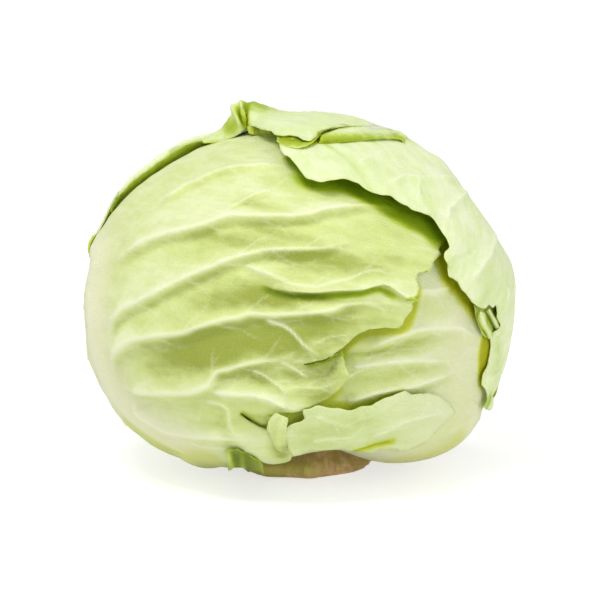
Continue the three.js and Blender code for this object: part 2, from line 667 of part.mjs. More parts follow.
function part(name, geometry, color, roughness) {
  const mesh = new THREE.Mesh(geometry, new THREE.MeshStandardMaterial({ color, roughness, metalness: 0 }));
  mesh.name = name;
  return mesh;
}

const cabbage = new THREE.Group();
cabbage.add(part('stump', stumpGeometry(), 0xa08058, 0.85));
cabbage.add(part('heart', heartGeometry(), 0xe6edc2, 0.6));
cabbage.add(part('leaf_right', makeLeafGeometry(rightLeaf()), 0xe2ebbc, 0.5));
cabbage.add(part('leaf_left', makeLeafGeometry(leftLeaf()), 0xcfe09a, 0.5));
cabbage.add(part('leaf_lower', makeLeafGeometry(lowerLeaf()), 0xcfe2a2, 0.5));
cabbage.add(part('leaf_back', makeLeafGeometry(backLeaf()), 0xc2dc90, 0.5));

export default cabbage;
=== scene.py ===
"""Cabbage head: dense leaves, heart and stump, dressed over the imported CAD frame.

Lengths are in millimetres until a mesh is made. The head stands on z = 0 and its front faces -Y.
Every leaf is a sheet over the heart's rounded form. It is drawn in a flat chart of its own, cut along
its outline, raised by its folds and ribs, and given a thickness. A corner (u, v) is a place in the front
view, in millimetres to the right of the stump's middle and above its foot.
"""
import math

import bpy
import numpy as np
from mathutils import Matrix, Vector
from mathutils.geometry import delaunay_2d_cdt


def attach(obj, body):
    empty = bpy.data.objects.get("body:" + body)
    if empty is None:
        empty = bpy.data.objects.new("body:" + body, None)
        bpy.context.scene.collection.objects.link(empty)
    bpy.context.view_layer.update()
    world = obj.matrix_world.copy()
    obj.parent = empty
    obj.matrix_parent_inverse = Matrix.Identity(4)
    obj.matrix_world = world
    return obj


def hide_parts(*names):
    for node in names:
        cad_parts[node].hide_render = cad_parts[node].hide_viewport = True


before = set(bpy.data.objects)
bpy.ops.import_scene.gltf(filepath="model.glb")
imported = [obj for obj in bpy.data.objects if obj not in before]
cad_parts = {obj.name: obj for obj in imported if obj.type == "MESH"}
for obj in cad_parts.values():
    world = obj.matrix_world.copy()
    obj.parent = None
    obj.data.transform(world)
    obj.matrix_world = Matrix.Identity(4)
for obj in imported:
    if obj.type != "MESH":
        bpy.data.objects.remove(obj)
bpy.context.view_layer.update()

MM = 0.001
SEED = 7

# ---------------------------------------------------------------- the form, as in the CAD model

HEART_MIDDLE = np.array([-13.0, 0.0, 67.5])
HEART_HALF_WIDTH = 84.0
HEART_HALF_DEPTH = 79.0
HEART_RISE = 76.0
HEART_DROP = 58.5
TOP_ROUNDNESS = 2.15
TOP_LEAN = 0.25
FOOT_ROUNDNESS = 4.3
FOOT_LEAN = 1.8
FOOT_FRONT = 0.7
SHOULDER_BULGE = 5.0
SHOULDER = (5.0, 8.0)
SHOULDER_SPREAD = 0.6
DIMPLE_DEPTH = 5.0
DIMPLE_INNER = 24.0
DIMPLE_OUTER = 44.0
NOTCH_RAISE = 9.0
NOTCH_X = 6.0
NOTCH_Y = -46.0
NOTCH_SPREAD = 21.0
STUMP_TOP = 13.4
CHART_RADIUS = 85.0

# the front view, which is also the camera's
VIEW_RISE = math.radians(12)
VIEW_DISTANCE = 1500.0
VIEW_U = -6.6
VIEW_V = 72.6
VIEW_WIDTH = 264.0

# how finely the leaves are divided: along the edge, in front and on the hidden sides, how far apart a
# triangular grid's rows are, where the front ends, and the rows of points laid over an overhang
EDGE_STEP = 1.0
FRONT_STEP = 0.9
HIDDEN_STEP = 2.3
ROW_SPACING = 0.866
FINE_LIMIT = -0.12
OVERHANG_ROWS = (-0.4, 0.1, 0.45, 0.8, 1.15, 1.5, 1.9, 2.4)

# where a sight line is searched for the form, as distances from the spot nearest to the heart's middle
SEARCH_DEPTHS = np.linspace(-140, 40, 91)
SEARCH_HALVINGS = 14

# the sum of waves behind every unevenness
WAVE_COUNT = 6
WAVE_SUM = 3.2
GOLDEN_ANGLE = 137.5
SWELL_WAVES = 7
FINE_SWELL_WAVES = 19
BLISTER_WAVES = 43

# the section of a fold, as powers and as shares of its width below the crest
RISE_POWER = 1.2
FALL_POWER = 1.7
GROOVE_AT = 1.8
# the width of the painted shade in a fold's valley, and the fold height that paints it in full
SHADE_WIDTH = 0.8
FULL_SHADE_HEIGHT = 3
OVERHANG_SHARE = 0.55
FOLD_REACH = 4.2

# veins: how far one is felt, how its line tapers, and how the thin ones branch
VEIN_REACH = 9.0
NO_VEIN = 30.0
FAINT_VEIN_AWAY = 25
LINE_AT_START = 1.25
LINE_TAPER = 0.6
BRANCHING_PALE = 0.35
TWIG_SPACING = 12.0
TWIG_STEP = 1.6
TWIG_WANDER = 0.07

# the band that rolls outwards along a curled edge, and how crumpled the small curled parts are
ROLL_BAND = 4.5
ROLL_RADIUS = 3.4
CRUMPLE_HEIGHT = 0.22


def smooth(low, high, value):
    """0 below low, 1 above high, and an even S between them."""
    share = np.clip((value - low) / (high - low), 0, 1)
    return share * share * (3 - 2 * share)


def direction_at(longitude, latitude):
    """The direction from the heart's middle at these degrees, 0 to the right and 90 behind."""
    turn, rise = np.radians(longitude), np.radians(latitude)
    return np.stack([np.cos(rise) * np.cos(turn), np.cos(rise) * np.sin(turn), np.sin(rise) + 0 * turn], -1)


def angle_to(directions, longitude, latitude):
    """The angle in radians between each direction and this one."""
    return np.arccos(np.clip(directions @ direction_at(longitude, latitude), -1, 1))


def swelling(directions, longitude, latitude, spread):
    """1 in this direction, falling off over the spread in radians."""
    return np.exp(-((angle_to(directions, longitude, latitude) / spread) ** 2))


def heart_radius(d):
    """The form's radius in each direction, measured from the heart's middle."""
    above = d[:, 2] > 0
    across = np.hypot(d[:, 0] / HEART_HALF_WIDTH, d[:, 1] / HEART_HALF_DEPTH)
    along = np.abs(d[:, 2]) / np.where(above, HEART_RISE, HEART_DROP)
    top = TOP_ROUNDNESS + TOP_LEAN * d[:, 0]
    foot = FOOT_ROUNDNESS + FOOT_LEAN * d[:, 0] - FOOT_FRONT * smooth(0.1, 0.7, -d[:, 1])
    roundness = np.where(above, top, foot)
    radius = (across ** roundness + along ** roundness) ** (-1 / roundness)
    radius += SHOULDER_BULGE * swelling(d, *SHOULDER, SHOULDER_SPREAD)
    x = HEART_MIDDLE[0] + radius * d[:, 0]
    y = radius * d[:, 1]
    hollow = DIMPLE_DEPTH * (1 - smooth(DIMPLE_INNER, DIMPLE_OUTER, np.hypot(x, y)))
    notch = NOTCH_RAISE * np.exp(-((x - NOTCH_X) ** 2 + (y - NOTCH_Y) ** 2) / NOTCH_SPREAD ** 2)
    return radius - np.where(above, 0, (hollow + notch) / np.maximum(0.5, -d[:, 2]))


def place(directions, height):
    """The points at this height over the heart, in millimetres."""
    return HEART_MIDDLE + directions * (heart_radius(directions) + height)[:, None]


def unevenness(d, waves):
    """A soft unevenness between about -1 and 1 that has no seam anywhere on the ball."""
    total = np.zeros(len(d))
    for i in range(WAVE_COUNT):
        axis = direction_at(GOLDEN_ANGLE * i + 20, 62 * math.sin(2.4 * i + 0.6))
        total += np.sin(waves * (1 + 0.13 * i) * (d @ axis) + 1.9 * i)
    return total / WAVE_SUM


# ---------------------------------------------------------------- points drawn in the front view

VIEW_TOWARD = np.array([0, math.cos(VIEW_RISE), -math.sin(VIEW_RISE)])
VIEW_UP = np.array([0, math.sin(VIEW_RISE), math.cos(VIEW_RISE)])
VIEW_TARGET = np.array([VIEW_U, 0, VIEW_V / math.cos(VIEW_RISE)])
VIEW_EYE = VIEW_TARGET - VIEW_DISTANCE * VIEW_TOWARD


def sight_lines(points):
    """For each (u, v): its sight line's spot nearest to the heart's middle, and the line's direction."""
    through = VIEW_TARGET + np.outer(points[:, 1] - VIEW_V, VIEW_UP)
    through[:, 0] += points[:, 0] - VIEW_U
    toward = through - VIEW_EYE
    toward /= np.linalg.norm(toward, axis=1)[:, None]
    nearest = toward @ (HEART_MIDDLE - VIEW_EYE)
    return VIEW_EYE + toward * nearest[:, None] - HEART_MIDDLE, toward


def spare_height(spots, height_at, lift):
    """How far outside the leaf each spot lies, measured from the heart's middle."""
    length = np.linalg.norm(spots, axis=1)
    directions = spots / length[:, None]
    return length - heart_radius(directions) - height_at(directions) - lift


def rows_of(points, width):
    """The points as rows of this width, with zeros for the values left out."""
    return np.array([tuple(point) + (0,) * (width - len(point)) for point in points], float)


def first_spots(points, height_at, lift):
    """Where each (u, v) sight line first meets the leaf's form, or passes nearest to it."""
    middle, toward = sight_lines(points)
    spare = np.array([spare_height(middle + toward * depth, height_at, lift) for depth in SEARCH_DEPTHS])
    first = np.where((spare <= 0).any(0), (spare <= 0).argmax(0), spare.argmin(0))
    near = SEARCH_DEPTHS[np.maximum(first - 1, 0)]
    far = SEARCH_DEPTHS[first]
    for _ in range(SEARCH_HALVINGS):
        half = (near + far) / 2
        outside = spare_height(middle + toward * half[:, None], height_at, lift) > 0
        near = np.where(outside, half, near)
        far = np.where(outside, far, half)
    return middle + toward * far[:, None], toward


def corner_rows(spots, lift, curl, ragged):
    """Corners as rows: direction, then lift above the leaf's own height, curl and raggedness."""
    directions = spots / np.linalg.norm(spots, axis=1)[:, None]
    return np.column_stack([directions, lift, curl, np.full(len(spots), ragged)])


def front(height_at, points, ragged=0.3):
    """(u, v, lift, curl) on the side that faces the viewer."""
    rows = rows_of(points, 4)
    spots, _ = first_spots(rows, height_at, rows[:, 2])
    return corner_rows(spots, rows[:, 2], rows[:, 3], ragged)


def rim(height_at, points, ragged=0.3):
    """(u, v, past, curl) on the head's outline, this far past the spot nearest to the heart's middle."""
    rows = rows_of(points, 4)
    middle, toward = sight_lines(rows)
    spots = middle + toward * rows[:, 2:3]
    return corner_rows(spots, spare_height(spots, height_at, 0), rows[:, 3], ragged)


def hidden(points, ragged=1.0):
    """(longitude, latitude, lift) in degrees about the heart's middle, 0 to the right, 90 behind."""
    rows = rows_of(points, 3)
    return corner_rows(direction_at(rows[:, 0], rows[:, 1]), rows[:, 2], 0 * rows[:, 2], ragged)


def base(points, ragged=0.2):
    """(turn, reach) on the underside, reach being the distance from the stump's axis."""
    rows = rows_of(points, 2)
    turn = np.radians(rows[:, 0])
    spots = np.column_stack([rows[:, 1] * np.cos(turn), rows[:, 1] * np.sin(turn), 0 * turn])
    spots[:, 2] = HEART_MIDDLE[2] - HEART_DROP + 2
    spots -= HEART_MIDDLE
    return corner_rows(spots, 0 * turn, 0 * turn, ragged)


# ---------------------------------------------------------------- a flat chart of each leaf

class Chart:
    """Distances from the chart's middle, and bearings there, are true to the ball."""

    def __init__(self, longitude, latitude):
        self.middle = direction_at(longitude, latitude)
        self.east = direction_at(longitude + 90, 0)
        self.north = np.cross(self.middle, self.east)

    def flatten(self, directions):
        angle = np.arccos(np.clip(directions @ self.middle, -1, 1))
        flat = np.stack([directions @ self.east, directions @ self.north], -1)
        length = np.maximum(np.linalg.norm(flat, axis=-1), 1e-9)
        return flat * (angle * CHART_RADIUS / length)[:, None]

    def wrap(self, flat):
        length = np.maximum(np.linalg.norm(flat, axis=1), 1e-9)
        angle = length / CHART_RADIUS
        side = (flat[:, :1] * self.east + flat[:, 1:] * self.north) / length[:, None]
        return side * np.sin(angle)[:, None] + self.middle * np.cos(angle)[:, None]

    def line(self, corners, step=2.5):
        """The smooth path of these corners in the chart."""
        return spline(self.flatten(corners[:, :3]), step, False)


def spline(points, step, closed):
    """A Catmull-Rom curve through the first two columns; the other columns are blended evenly."""
    count = len(points)
    rows = []
    for i in range(count if closed else count - 1):
        if closed:
            a, b, c, d = (points[(i + k) % count] for k in (-1, 0, 1, 2))
        else:
            a, b, c, d = (points[min(max(i + k, 0), count - 1)] for k in (-1, 0, 1, 2))
        length = np.linalg.norm(c[:2] - b[:2])
        pieces = max(1, int(round(length / step)))
        ease_in = min(1.0, length / max(np.linalg.norm(b[:2] - a[:2]), 1e-6))
        ease_out = min(1.0, length / max(np.linalg.norm(d[:2] - c[:2]), 1e-6))
        start = (c[:2] - a[:2]) / 2 * ease_in
        end = (d[:2] - b[:2]) / 2 * ease_out
        for k in range(pieces):
            t = k / pieces
            spot = ((2 * t ** 3 - 3 * t ** 2 + 1) * b[:2] + (t ** 3 - 2 * t ** 2 + t) * start
                           + (3 * t ** 2 - 2 * t ** 3) * c[:2] + (t ** 3 - t ** 2) * end)
            rows.append(np.concatenate([spot, b[2:] + (c[2:] - b[2:]) * t]))
    if not closed:
        rows.append(points[-1])
    return np.array(rows)


def nearest_on_path(points, path, closed=False, chunk=3000):
    """For each point: its distance to the path, which side it is on (1 is left), and where along."""
    starts = path[:, :2] if closed else path[:-1, :2]
    ends = np.roll(path[:, :2], -1, axis=0) if closed else path[1:, :2]
    run = ends - starts
    run_squared = np.maximum((run ** 2).sum(1), 1e-12)
    distance = np.empty(len(points))
    side = np.empty(len(points))
    at = np.empty(len(points))
    for low in range(0, len(points), chunk):
        reach = points[low:low + chunk, None, :] - starts[None]
        share = np.clip((reach * run).sum(2) / run_squared, 0, 1)
        away = reach - share[..., None] * run
        squared = (away ** 2).sum(2)
        best = squared.argmin(1)
        rows = np.arange(len(best))
        distance[low:low + chunk] = np.sqrt(squared[rows, best])
        turn = run[best, 0] * reach[rows, best, 1] - run[best, 1] * reach[rows, best, 0]
        side[low:low + chunk] = np.where(turn >= 0, 1, -1)
        at[low:low + chunk] = best + share[rows, best]
    return distance, side, at


def inside_outline(points, outline, chunk=4000):
    """Which points lie inside, by how often a line to the right crosses the outline."""
    x0, y0 = outline[:, 0], outline[:, 1]
    x1, y1 = np.roll(x0, -1), np.roll(y0, -1)
    result = np.zeros(len(points), bool)
    slope = (x1 - x0) / np.where(np.abs(y1 - y0) < 1e-12, 1e-12, y1 - y0)
    for low in range(0, len(points), chunk):
        x = points[low:low + chunk, 0:1]
        y = points[low:low + chunk, 1:2]
        crosses = ((y0 > y) != (y1 > y)) & (x < x0 + slope * (y - y0))
        result[low:low + chunk] = crosses.sum(1) % 2 == 1
    return result


# ---------------------------------------------------------------- folds and ribs

class Fold:
    """A fold of the blade along a path.

    It rises over the width above the path, falls steeply over the width below it, may have a groove
    beyond that, and may hang over the lower side. Its vein is a bead and a pale line along the crest.
    """

    # shade sets how much painted shade the fold's valley gets
    def __init__(self, path, height, above=10.0, below=5.0, groove=0.0, overhang=0.0, bead=0.42,
                 line=0.8, fade_in=0.12, fade_out=0.25, pale=1.0, shade=1.0):
        self.path = path
        self.height = height
        self.above = above
        self.below = below
        self.groove = groove
        self.overhang = overhang
        self.bead = bead
        self.line = line
        self.fade_in = fade_in
        self.fade_out = fade_out
        self.pale = pale
        self.shade = shade

    def near(self, flat):
        """Which points it reaches, and for those their signed distance, place, fade and direction down."""
        reach = VEIN_REACH
        if self.height:
            reach = max(VEIN_REACH, FOLD_REACH * max(self.above, self.below))
        low = self.path.min(0)[:2] - reach
        high = self.path.max(0)[:2] + reach
        hit = np.flatnonzero(((flat > low) & (flat < high)).all(1))
        distance, side, at = nearest_on_path(flat[hit], self.path)
        share = at / (len(self.path) - 1)
        fade = smooth(-0.02, self.fade_in, share) * (1 - smooth(1 - self.fade_out, 1.02, share))
        index = np.minimum(at.astype(int), len(self.path) - 2)
        down = downhill(self.path[index + 1, :2] - self.path[index, :2])
        return hit, distance * side, share, fade, down


def downhill(along):
    """The direction down a fold's steep side, square to the way it runs."""
    along = along / np.maximum(np.linalg.norm(along, axis=1), 1e-9)[:, None]
    return np.column_stack([along[:, 1], -along[:, 0]])


def hump(away, width, middle=0.0, power=2.0):
    """1 at the middle, falling off over the width on both sides."""
    return np.exp(-np.abs((away - middle) / width) ** power)


def fold_fields(flat, folds):
    """What the folds do at each point: relief, bead, pale line, distance to a vein, painted valley shade
    and shift.
    """
    count = len(flat)
    ridge, groove, bead, pale, valley = (np.zeros(count) for _ in range(5))
    nearness = np.full(count, NO_VEIN)
    shift = np.zeros((count, 2))
    for fold in folds:
        hit, across, share, fade, down = fold.near(flat)
        if not len(hit):
            continue
        upper = across > 0
        away = np.abs(across)
        if fold.height:
            width = np.where(upper, fold.above, fold.below)
            shape = hump(away, width, power=np.where(upper, RISE_POWER, FALL_POWER))
            ridge[hit] = np.maximum(ridge[hit], fold.height * fade * shape)
            dip = np.where(upper, 0, hump(away, fold.below, GROOVE_AT * fold.below))
            groove[hit] = np.maximum(groove[hit], fold.groove * fade * dip)
            # painted shade in the valley just below the crest, deeper for taller folds
            dark = np.where(upper, 0, hump(away, SHADE_WIDTH * fold.below, fold.below))
            depth = min(1, fold.height / FULL_SHADE_HEIGHT) * fold.shade
            valley[hit] = np.maximum(valley[hit], depth * fade * dark)
        mark = hump(across, fold.line * (LINE_AT_START - LINE_TAPER * share)) * fade
        bead[hit] = np.maximum(bead[hit], fold.bead * mark)
        pale[hit] = np.maximum(pale[hit], fold.pale * mark)
        faint = FAINT_VEIN_AWAY * (1 - fade * min(1, fold.line))
        nearness[hit] = np.minimum(nearness[hit], away + faint)
        if fold.overhang:
            lean = OVERHANG_SHARE * fold.overhang * fade * hump(across, np.where(upper, 6.0, 1.2))
            shift[hit] += down * lean[:, None]
    return {"relief": ridge - groove, "bead": bead, "pale": pale, "near": nearness, "valley": valley,
            "shift": shift}


def heading(path, index):
    """The direction in which the path runs at this point."""
    along = path[min(index + 1, len(path) - 1)] - path[max(index - 1, 0)]
    return along / max(np.linalg.norm(along), 1e-9)


def twig(start, bearing, turn, reach, rng):
    """One thin vein that leaves at this turn and bends towards the bearing, a step at a time."""
    spots = [start]
    for _ in range(max(3, int(reach / TWIG_STEP))):
        turn *= rng.uniform(0.86, 0.99)
        way = bearing + turn + rng.normal() * TWIG_WANDER
        spots.append(spots[-1] + TWIG_STEP * np.array([math.cos(way), math.sin(way)]))
    return np.array(spots)


def branch_veins(folds, seed):
    """Thin veins that leave the main ones on both sides, bend along them, and fork once more."""
    rng = np.random.default_rng(seed)
    parents = [(fold.path, 1.0) for fold in folds if fold.pale > BRANCHING_PALE]
    spacing = TWIG_SPACING
    veins = []
    for length, line, pale in ((26.0, 0.5, 0.42), (14.3, 0.36, 0.252)):
        children = []
        for path, weight in parents:
            steps = np.linalg.norm(np.diff(path, axis=0), axis=1)
            travelled = np.concatenate([[0], np.cumsum(steps)])
            at = spacing * (0.4 + 0.5 * rng.random())
            side = 1 if rng.random() < 0.5 else -1
            while at < travelled[-1] * 0.94:
                index = int(np.searchsorted(travelled, at))
                forward = heading(path, index)
                turn = side * math.radians(rng.uniform(30, 52))
                reach = length * rng.uniform(0.45, 1.0)
                start = path[min(index, len(path) - 1)]
                bearing = math.atan2(forward[1], forward[0])
                children.append((twig(start, bearing, turn, reach, rng), weight * 0.6))
                at += spacing * rng.uniform(0.55, 1.35)
                side = -side
        for path, weight in children:
            veins.append(Fold(path, 0, above=1.5, below=1.5, bead=0.14 * weight, line=line, pale=pale,
                              fade_in=0.02, fade_out=0.7))
        parents = children
        spacing *= 0.62
    return veins


def side_veins(midrib, side, count, reach, sweep, start=0.12, end=0.9, **shape):
    """Side veins in even steps along a midrib, each leaving it sideways and bending to the tip."""
    folds = []
    for i in range(count):
        share = start + (end - start) * i / (count - 1)
        at = share * (len(midrib) - 1)
        index = min(int(at), len(midrib) - 2)
        origin = midrib[index] + (midrib[index + 1] - midrib[index]) * (at - index)
        along = midrib[index + 1] - midrib[index]
        along = along / np.linalg.norm(along)
        out = np.array([-along[1], along[0]]) * side
        length = reach * math.sin(math.pi * (0.25 + 0.6 * share))
        run = np.linspace(0, 1, 14)[:, None]
        wander = 0.03 * length * np.sin(9 * run + i)
        path = origin + out * length * run + along * (sweep * run ** 1.7 + wander)
        folds.append(Fold(path, **{"fade_in": 0.05, "fade_out": 0.6, **shape}))
    return folds


# ---------------------------------------------------------------- a leaf's mesh

def grid_in(chart, outline, step, in_front):
    """An even triangular grid inside the outline, on the side that faces the viewer or on the other."""
    span = CHART_RADIUS * 2.6
    ys = np.arange(-span, span, step * ROW_SPACING)
    xs = np.arange(-span, span, step)
    grid = np.stack(np.meshgrid(xs, ys), -1)
    grid[1::2, :, 0] += step / 2
    points = grid.reshape(-1, 2)
    low = outline[:, :2].min(0)
    high = outline[:, :2].max(0)
    points = points[((points > low) & (points < high)).all(1)]
    faces_viewer = chart.wrap(points) @ -VIEW_TOWARD > FINE_LIMIT
    points = points[faces_viewer == in_front]
    return points[inside_outline(points, outline)]


def leaf_points(chart, outline, folds, front_step):
    """Points inside the outline: fine in front, coarser on the hidden sides, in rows along overhangs."""
    points = np.concatenate([grid_in(chart, outline, front_step, True),
                             grid_in(chart, outline, HIDDEN_STEP, False)])
    for fold in [fold for fold in folds if fold.overhang]:
        path = spline(fold.path, 0.9, False)
        down = downhill(np.gradient(path, axis=0))
        rows = np.concatenate([path + down * offset for offset in OVERHANG_ROWS])
        rows = rows[inside_outline(rows, outline)]
        distance, side, _ = nearest_on_path(points, fold.path)
        clear = distance - np.where(side < 0, 1.6, 0) > 0.9
        points = np.concatenate([points[clear], rows])
    distance, _, _ = nearest_on_path(points, outline, closed=True)
    return points[distance > 0.55 * EDGE_STEP]


def vertex_normals(points, triangles):
    """The outward direction at each point, weighted by the area of its triangles."""
    a, b, c = (points[triangles[:, k]] for k in range(3))
    faces = np.cross(b - a, c - a)
    normals = np.zeros_like(points)
    for k in range(3):
        np.add.at(normals, triangles[:, k], faces)
    return normals / np.maximum(np.linalg.norm(normals, axis=1), 1e-12)[:, None]


def boundary_edges(triangles, count):
    """The edges that only one triangle has."""
    edges = np.concatenate([triangles[:, [0, 1]], triangles[:, [1, 2]], triangles[:, [2, 0]]])
    keys = edges[:, 0] * count + edges[:, 1]
    twins = edges[:, 1] * count + edges[:, 0]
    return edges[~np.isin(keys, twins)]


def ragged_outline(corners, seed):
    """Samples the outline finely and frays it: broad waves where it is hidden, small nicks all round."""
    outline = spline(corners, EDGE_STEP, True)
    count = len(outline)
    rng = np.random.default_rng(seed)
    after = np.roll(outline[:, :2], -1, axis=0) - np.roll(outline[:, :2], 1, axis=0)
    across = np.column_stack([after[:, 1], -after[:, 0]])
    across /= np.maximum(np.linalg.norm(across, axis=1), 1e-9)[:, None]
    nick_width, wave_height = 1.6, 1.1
    kernel = np.exp(-((np.arange(-4, 5) / nick_width) ** 2))
    nicks = np.convolve(np.tile(rng.normal(size=count), 3), kernel / kernel.sum(), "same")[count:2 * count]
    steps = np.arange(count)
    waves = np.sin(0.37 * steps) + np.sin(0.13 * steps + 1)
    push = outline[:, 4] * nicks + np.where(outline[:, 4] > 1, wave_height * waves, 0)
    outline[:, :2] += across * push[:, None]
    return outline


def fill_outline(outline, inner):
    """Chart points and triangles, all turned the same way, through the outline and the points in it."""
    loop = [Vector(p) for p in outline[:, :2]]
    coords = loop + [Vector(p) for p in inner]
    ring = [(i, (i + 1) % len(loop)) for i in range(len(loop))]
    verts, _, faces, _, _, _ = delaunay_2d_cdt(coords, ring, [], 0, 1e-5, False)
    flat = np.array([tuple(v) for v in verts])
    triangles = np.array([f for f in faces if len(f) == 3])
    triangles = triangles[inside_outline(flat[triangles].mean(1), outline)]
    a, b, c = (flat[triangles[:, k]] for k in range(3))
    turned = (b[:, 0] - a[:, 0]) * (c[:, 1] - a[:, 1]) - (b[:, 1] - a[:, 1]) * (c[:, 0] - a[:, 0]) < 0
    triangles[turned] = triangles[turned][:, ::-1]
    used = np.unique(triangles)
    renumber = np.zeros(len(flat), int)
    renumber[used] = np.arange(len(used))
    return flat[used], renumber[triangles]


def edge_values(flat, outline):
    """For each point: distance to the edge, place along it, lift and curl there, and the way inwards."""
    edge, _, at = nearest_on_path(flat, outline, closed=True)
    index = at.astype(int) % len(outline)
    following = (index + 1) % len(outline)
    part = (at % 1)[:, None]
    around = outline[index, :4] * (1 - part) + outline[following, :4] * part
    tangent = outline[following, :2] - outline[index, :2]
    after = np.roll(outline, -1, axis=0)
    clockwise = (outline[:, 0] * after[:, 1] - outline[:, 1] * after[:, 0]).sum() < 0
    square = np.column_stack([-tangent[:, 1], tangent[:, 0]]) * (-1 if clockwise else 1)
    inward = np.where((edge > 0.3)[:, None], flat - around[:, :2], square)
    inward /= np.maximum(np.linalg.norm(inward, axis=1), 1e-9)[:, None]
    return edge, at, around[:, 2], around[:, 3], inward


def roll_edge(edge, curl):
    """How far the edge's outward roll lifts each point and pulls it in."""
    turn = np.clip((ROLL_BAND - edge) / ROLL_RADIUS, 0, None) * curl
    radius = ROLL_RADIUS / np.maximum(curl, 1e-3)
    rolls = (curl > 0.02) & (edge < ROLL_BAND)
    return (np.where(rolls, radius * (1 - np.cos(turn)), 0),
            np.where(rolls, (ROLL_BAND - edge) - radius * np.sin(turn), 0))


def leaf_sheet(name, leaf, seed):
    """The leaf as a solid sheet: two faces and a cut edge, with the values its material reads."""
    chart = leaf["chart"]
    corners = np.column_stack([chart.flatten(leaf["outline"][:, :3]), leaf["outline"][:, 3:]])
    outline = ragged_outline(corners, seed)
    inner = leaf_points(chart, outline, leaf["folds"], leaf.get("front_step", FRONT_STEP))
    flat, triangles = fill_outline(outline, inner)
    directions = chart.wrap(flat)
    edge, at, edge_lift, curl, inward = edge_values(flat, outline)
    fields = fold_fields(flat, leaf["folds"])
    fine = fold_fields(flat, branch_veins(leaf["folds"], seed + 50))
    relief, nearness = fields["relief"], fields["near"]
    finest = np.minimum(nearness, fine["near"])

    swell = unevenness(directions, SWELL_WAVES) + 0.45 * unevenness(directions, FINE_SWELL_WAVES) + 1.2
    swell *= leaf["swell"]
    blister = unevenness(directions, BLISTER_WAVES) * smooth(0, 7, nearness) + smooth(0.3, 3.5, finest)
    blister *= leaf["blister"]
    body = np.maximum(0, relief + swell) + blister
    settle = smooth(-2, 9, edge + 4 * np.maximum(0, edge_lift))
    lift = edge_lift * np.exp(-((edge / leaf["lift_reach"]) ** 2))
    ripple = leaf["ripple"] * np.sin(at * EDGE_STEP / 3.1) * np.sin(at * EDGE_STEP / 7.7 + 1)
    ripple *= np.exp(-((edge / 6) ** 2)) * smooth(0, 2, edge_lift)
    rise, pull = roll_edge(edge, curl)
    bead = fields["bead"] + fine["bead"]
    height = leaf["height_at"](directions) + body * settle + lift + ripple + bead + rise
    outer = place(chart.wrap(flat + fields["shift"] + inward * pull[:, None]), height)

    depth = leaf["thickness"] * (0.75 + 0.5 * fields["pale"]) * smooth(-3.5, 4, edge)
    values = {
        "pale": np.maximum(fields["pale"], fine["pale"]),
        "near": nearness,
        "edge": edge,
        # tone: the blade's deeper greens, darkened further by the painted shade below the fold crests
        "tone": leaf["tone"](flat) + 0.42 * fields["valley"],
        "cream": leaf["cream"](flat, directions),
        # under: the painted shade beneath other leaves' edges, which the material darkens and greens
        "under": np.clip(shade_field(flat, leaf["shades"]), 0, 1),
        "high": np.clip(relief, -1, 5),
    }
    sheets = [close_sheet(outer, triangles, depth, flat, values)]
    sheets += [curl_sheet(chart, *curl_shape) for curl_shape in leaf.get("curls", [])]
    return make_mesh(name, *join_sheets(sheets))


def close_sheet(outer, triangles, depth, flat, values):
    """Both faces and the cut edge of a sheet, as points, triangles, values and chart points."""
    count = len(outer)
    inner = outer - vertex_normals(outer, triangles) * np.broadcast_to(depth, count)[:, None]
    rims = boundary_edges(triangles, count)
    sides = np.concatenate([
        np.column_stack([rims[:, 1], rims[:, 0], rims[:, 0] + count]),
        np.column_stack([rims[:, 1], rims[:, 0] + count, rims[:, 1] + count]),
    ])
    both = {key: np.concatenate([value, value]) for key, value in values.items()}
    both["inside"] = np.concatenate([np.zeros(count), np.ones(count)])
    every = np.concatenate([triangles, triangles[:, ::-1] + count, sides])
    return np.concatenate([outer, inner]), every, both, np.concatenate([flat, flat])


def join_sheets(sheets):
    """One mesh's points, triangles, values and chart points from those of several."""
    points, triangles, values, flats = zip(*sheets)
    starts = np.cumsum([0] + [len(each) for each in points[:-1]])
    triangles = [each + start for each, start in zip(triangles, starts)]
    joined = {key: np.concatenate([each[key] for each in values]) for key in values[0]}
    return np.concatenate(points), np.concatenate(triangles), joined, np.concatenate(flats)


def through(rows, pieces):
    """A smooth curve or net through these rows, with this many pieces between each two."""
    padded = np.concatenate([2 * rows[:1] - rows[1:2], rows, 2 * rows[-1:] - rows[-2:-1]])
    result = []
    for a, b, c, d in zip(padded, padded[1:], padded[2:], padded[3:]):
        for k in range(pieces):
            t = k / pieces
            cubic = (2 * a - 5 * b + 4 * c - d) * t ** 2 + (3 * b - a - 3 * c + d) * t ** 3
            result.append(0.5 * (2 * b + (c - a) * t + cubic))
    result.append(rows[-1])
    return np.array(result)


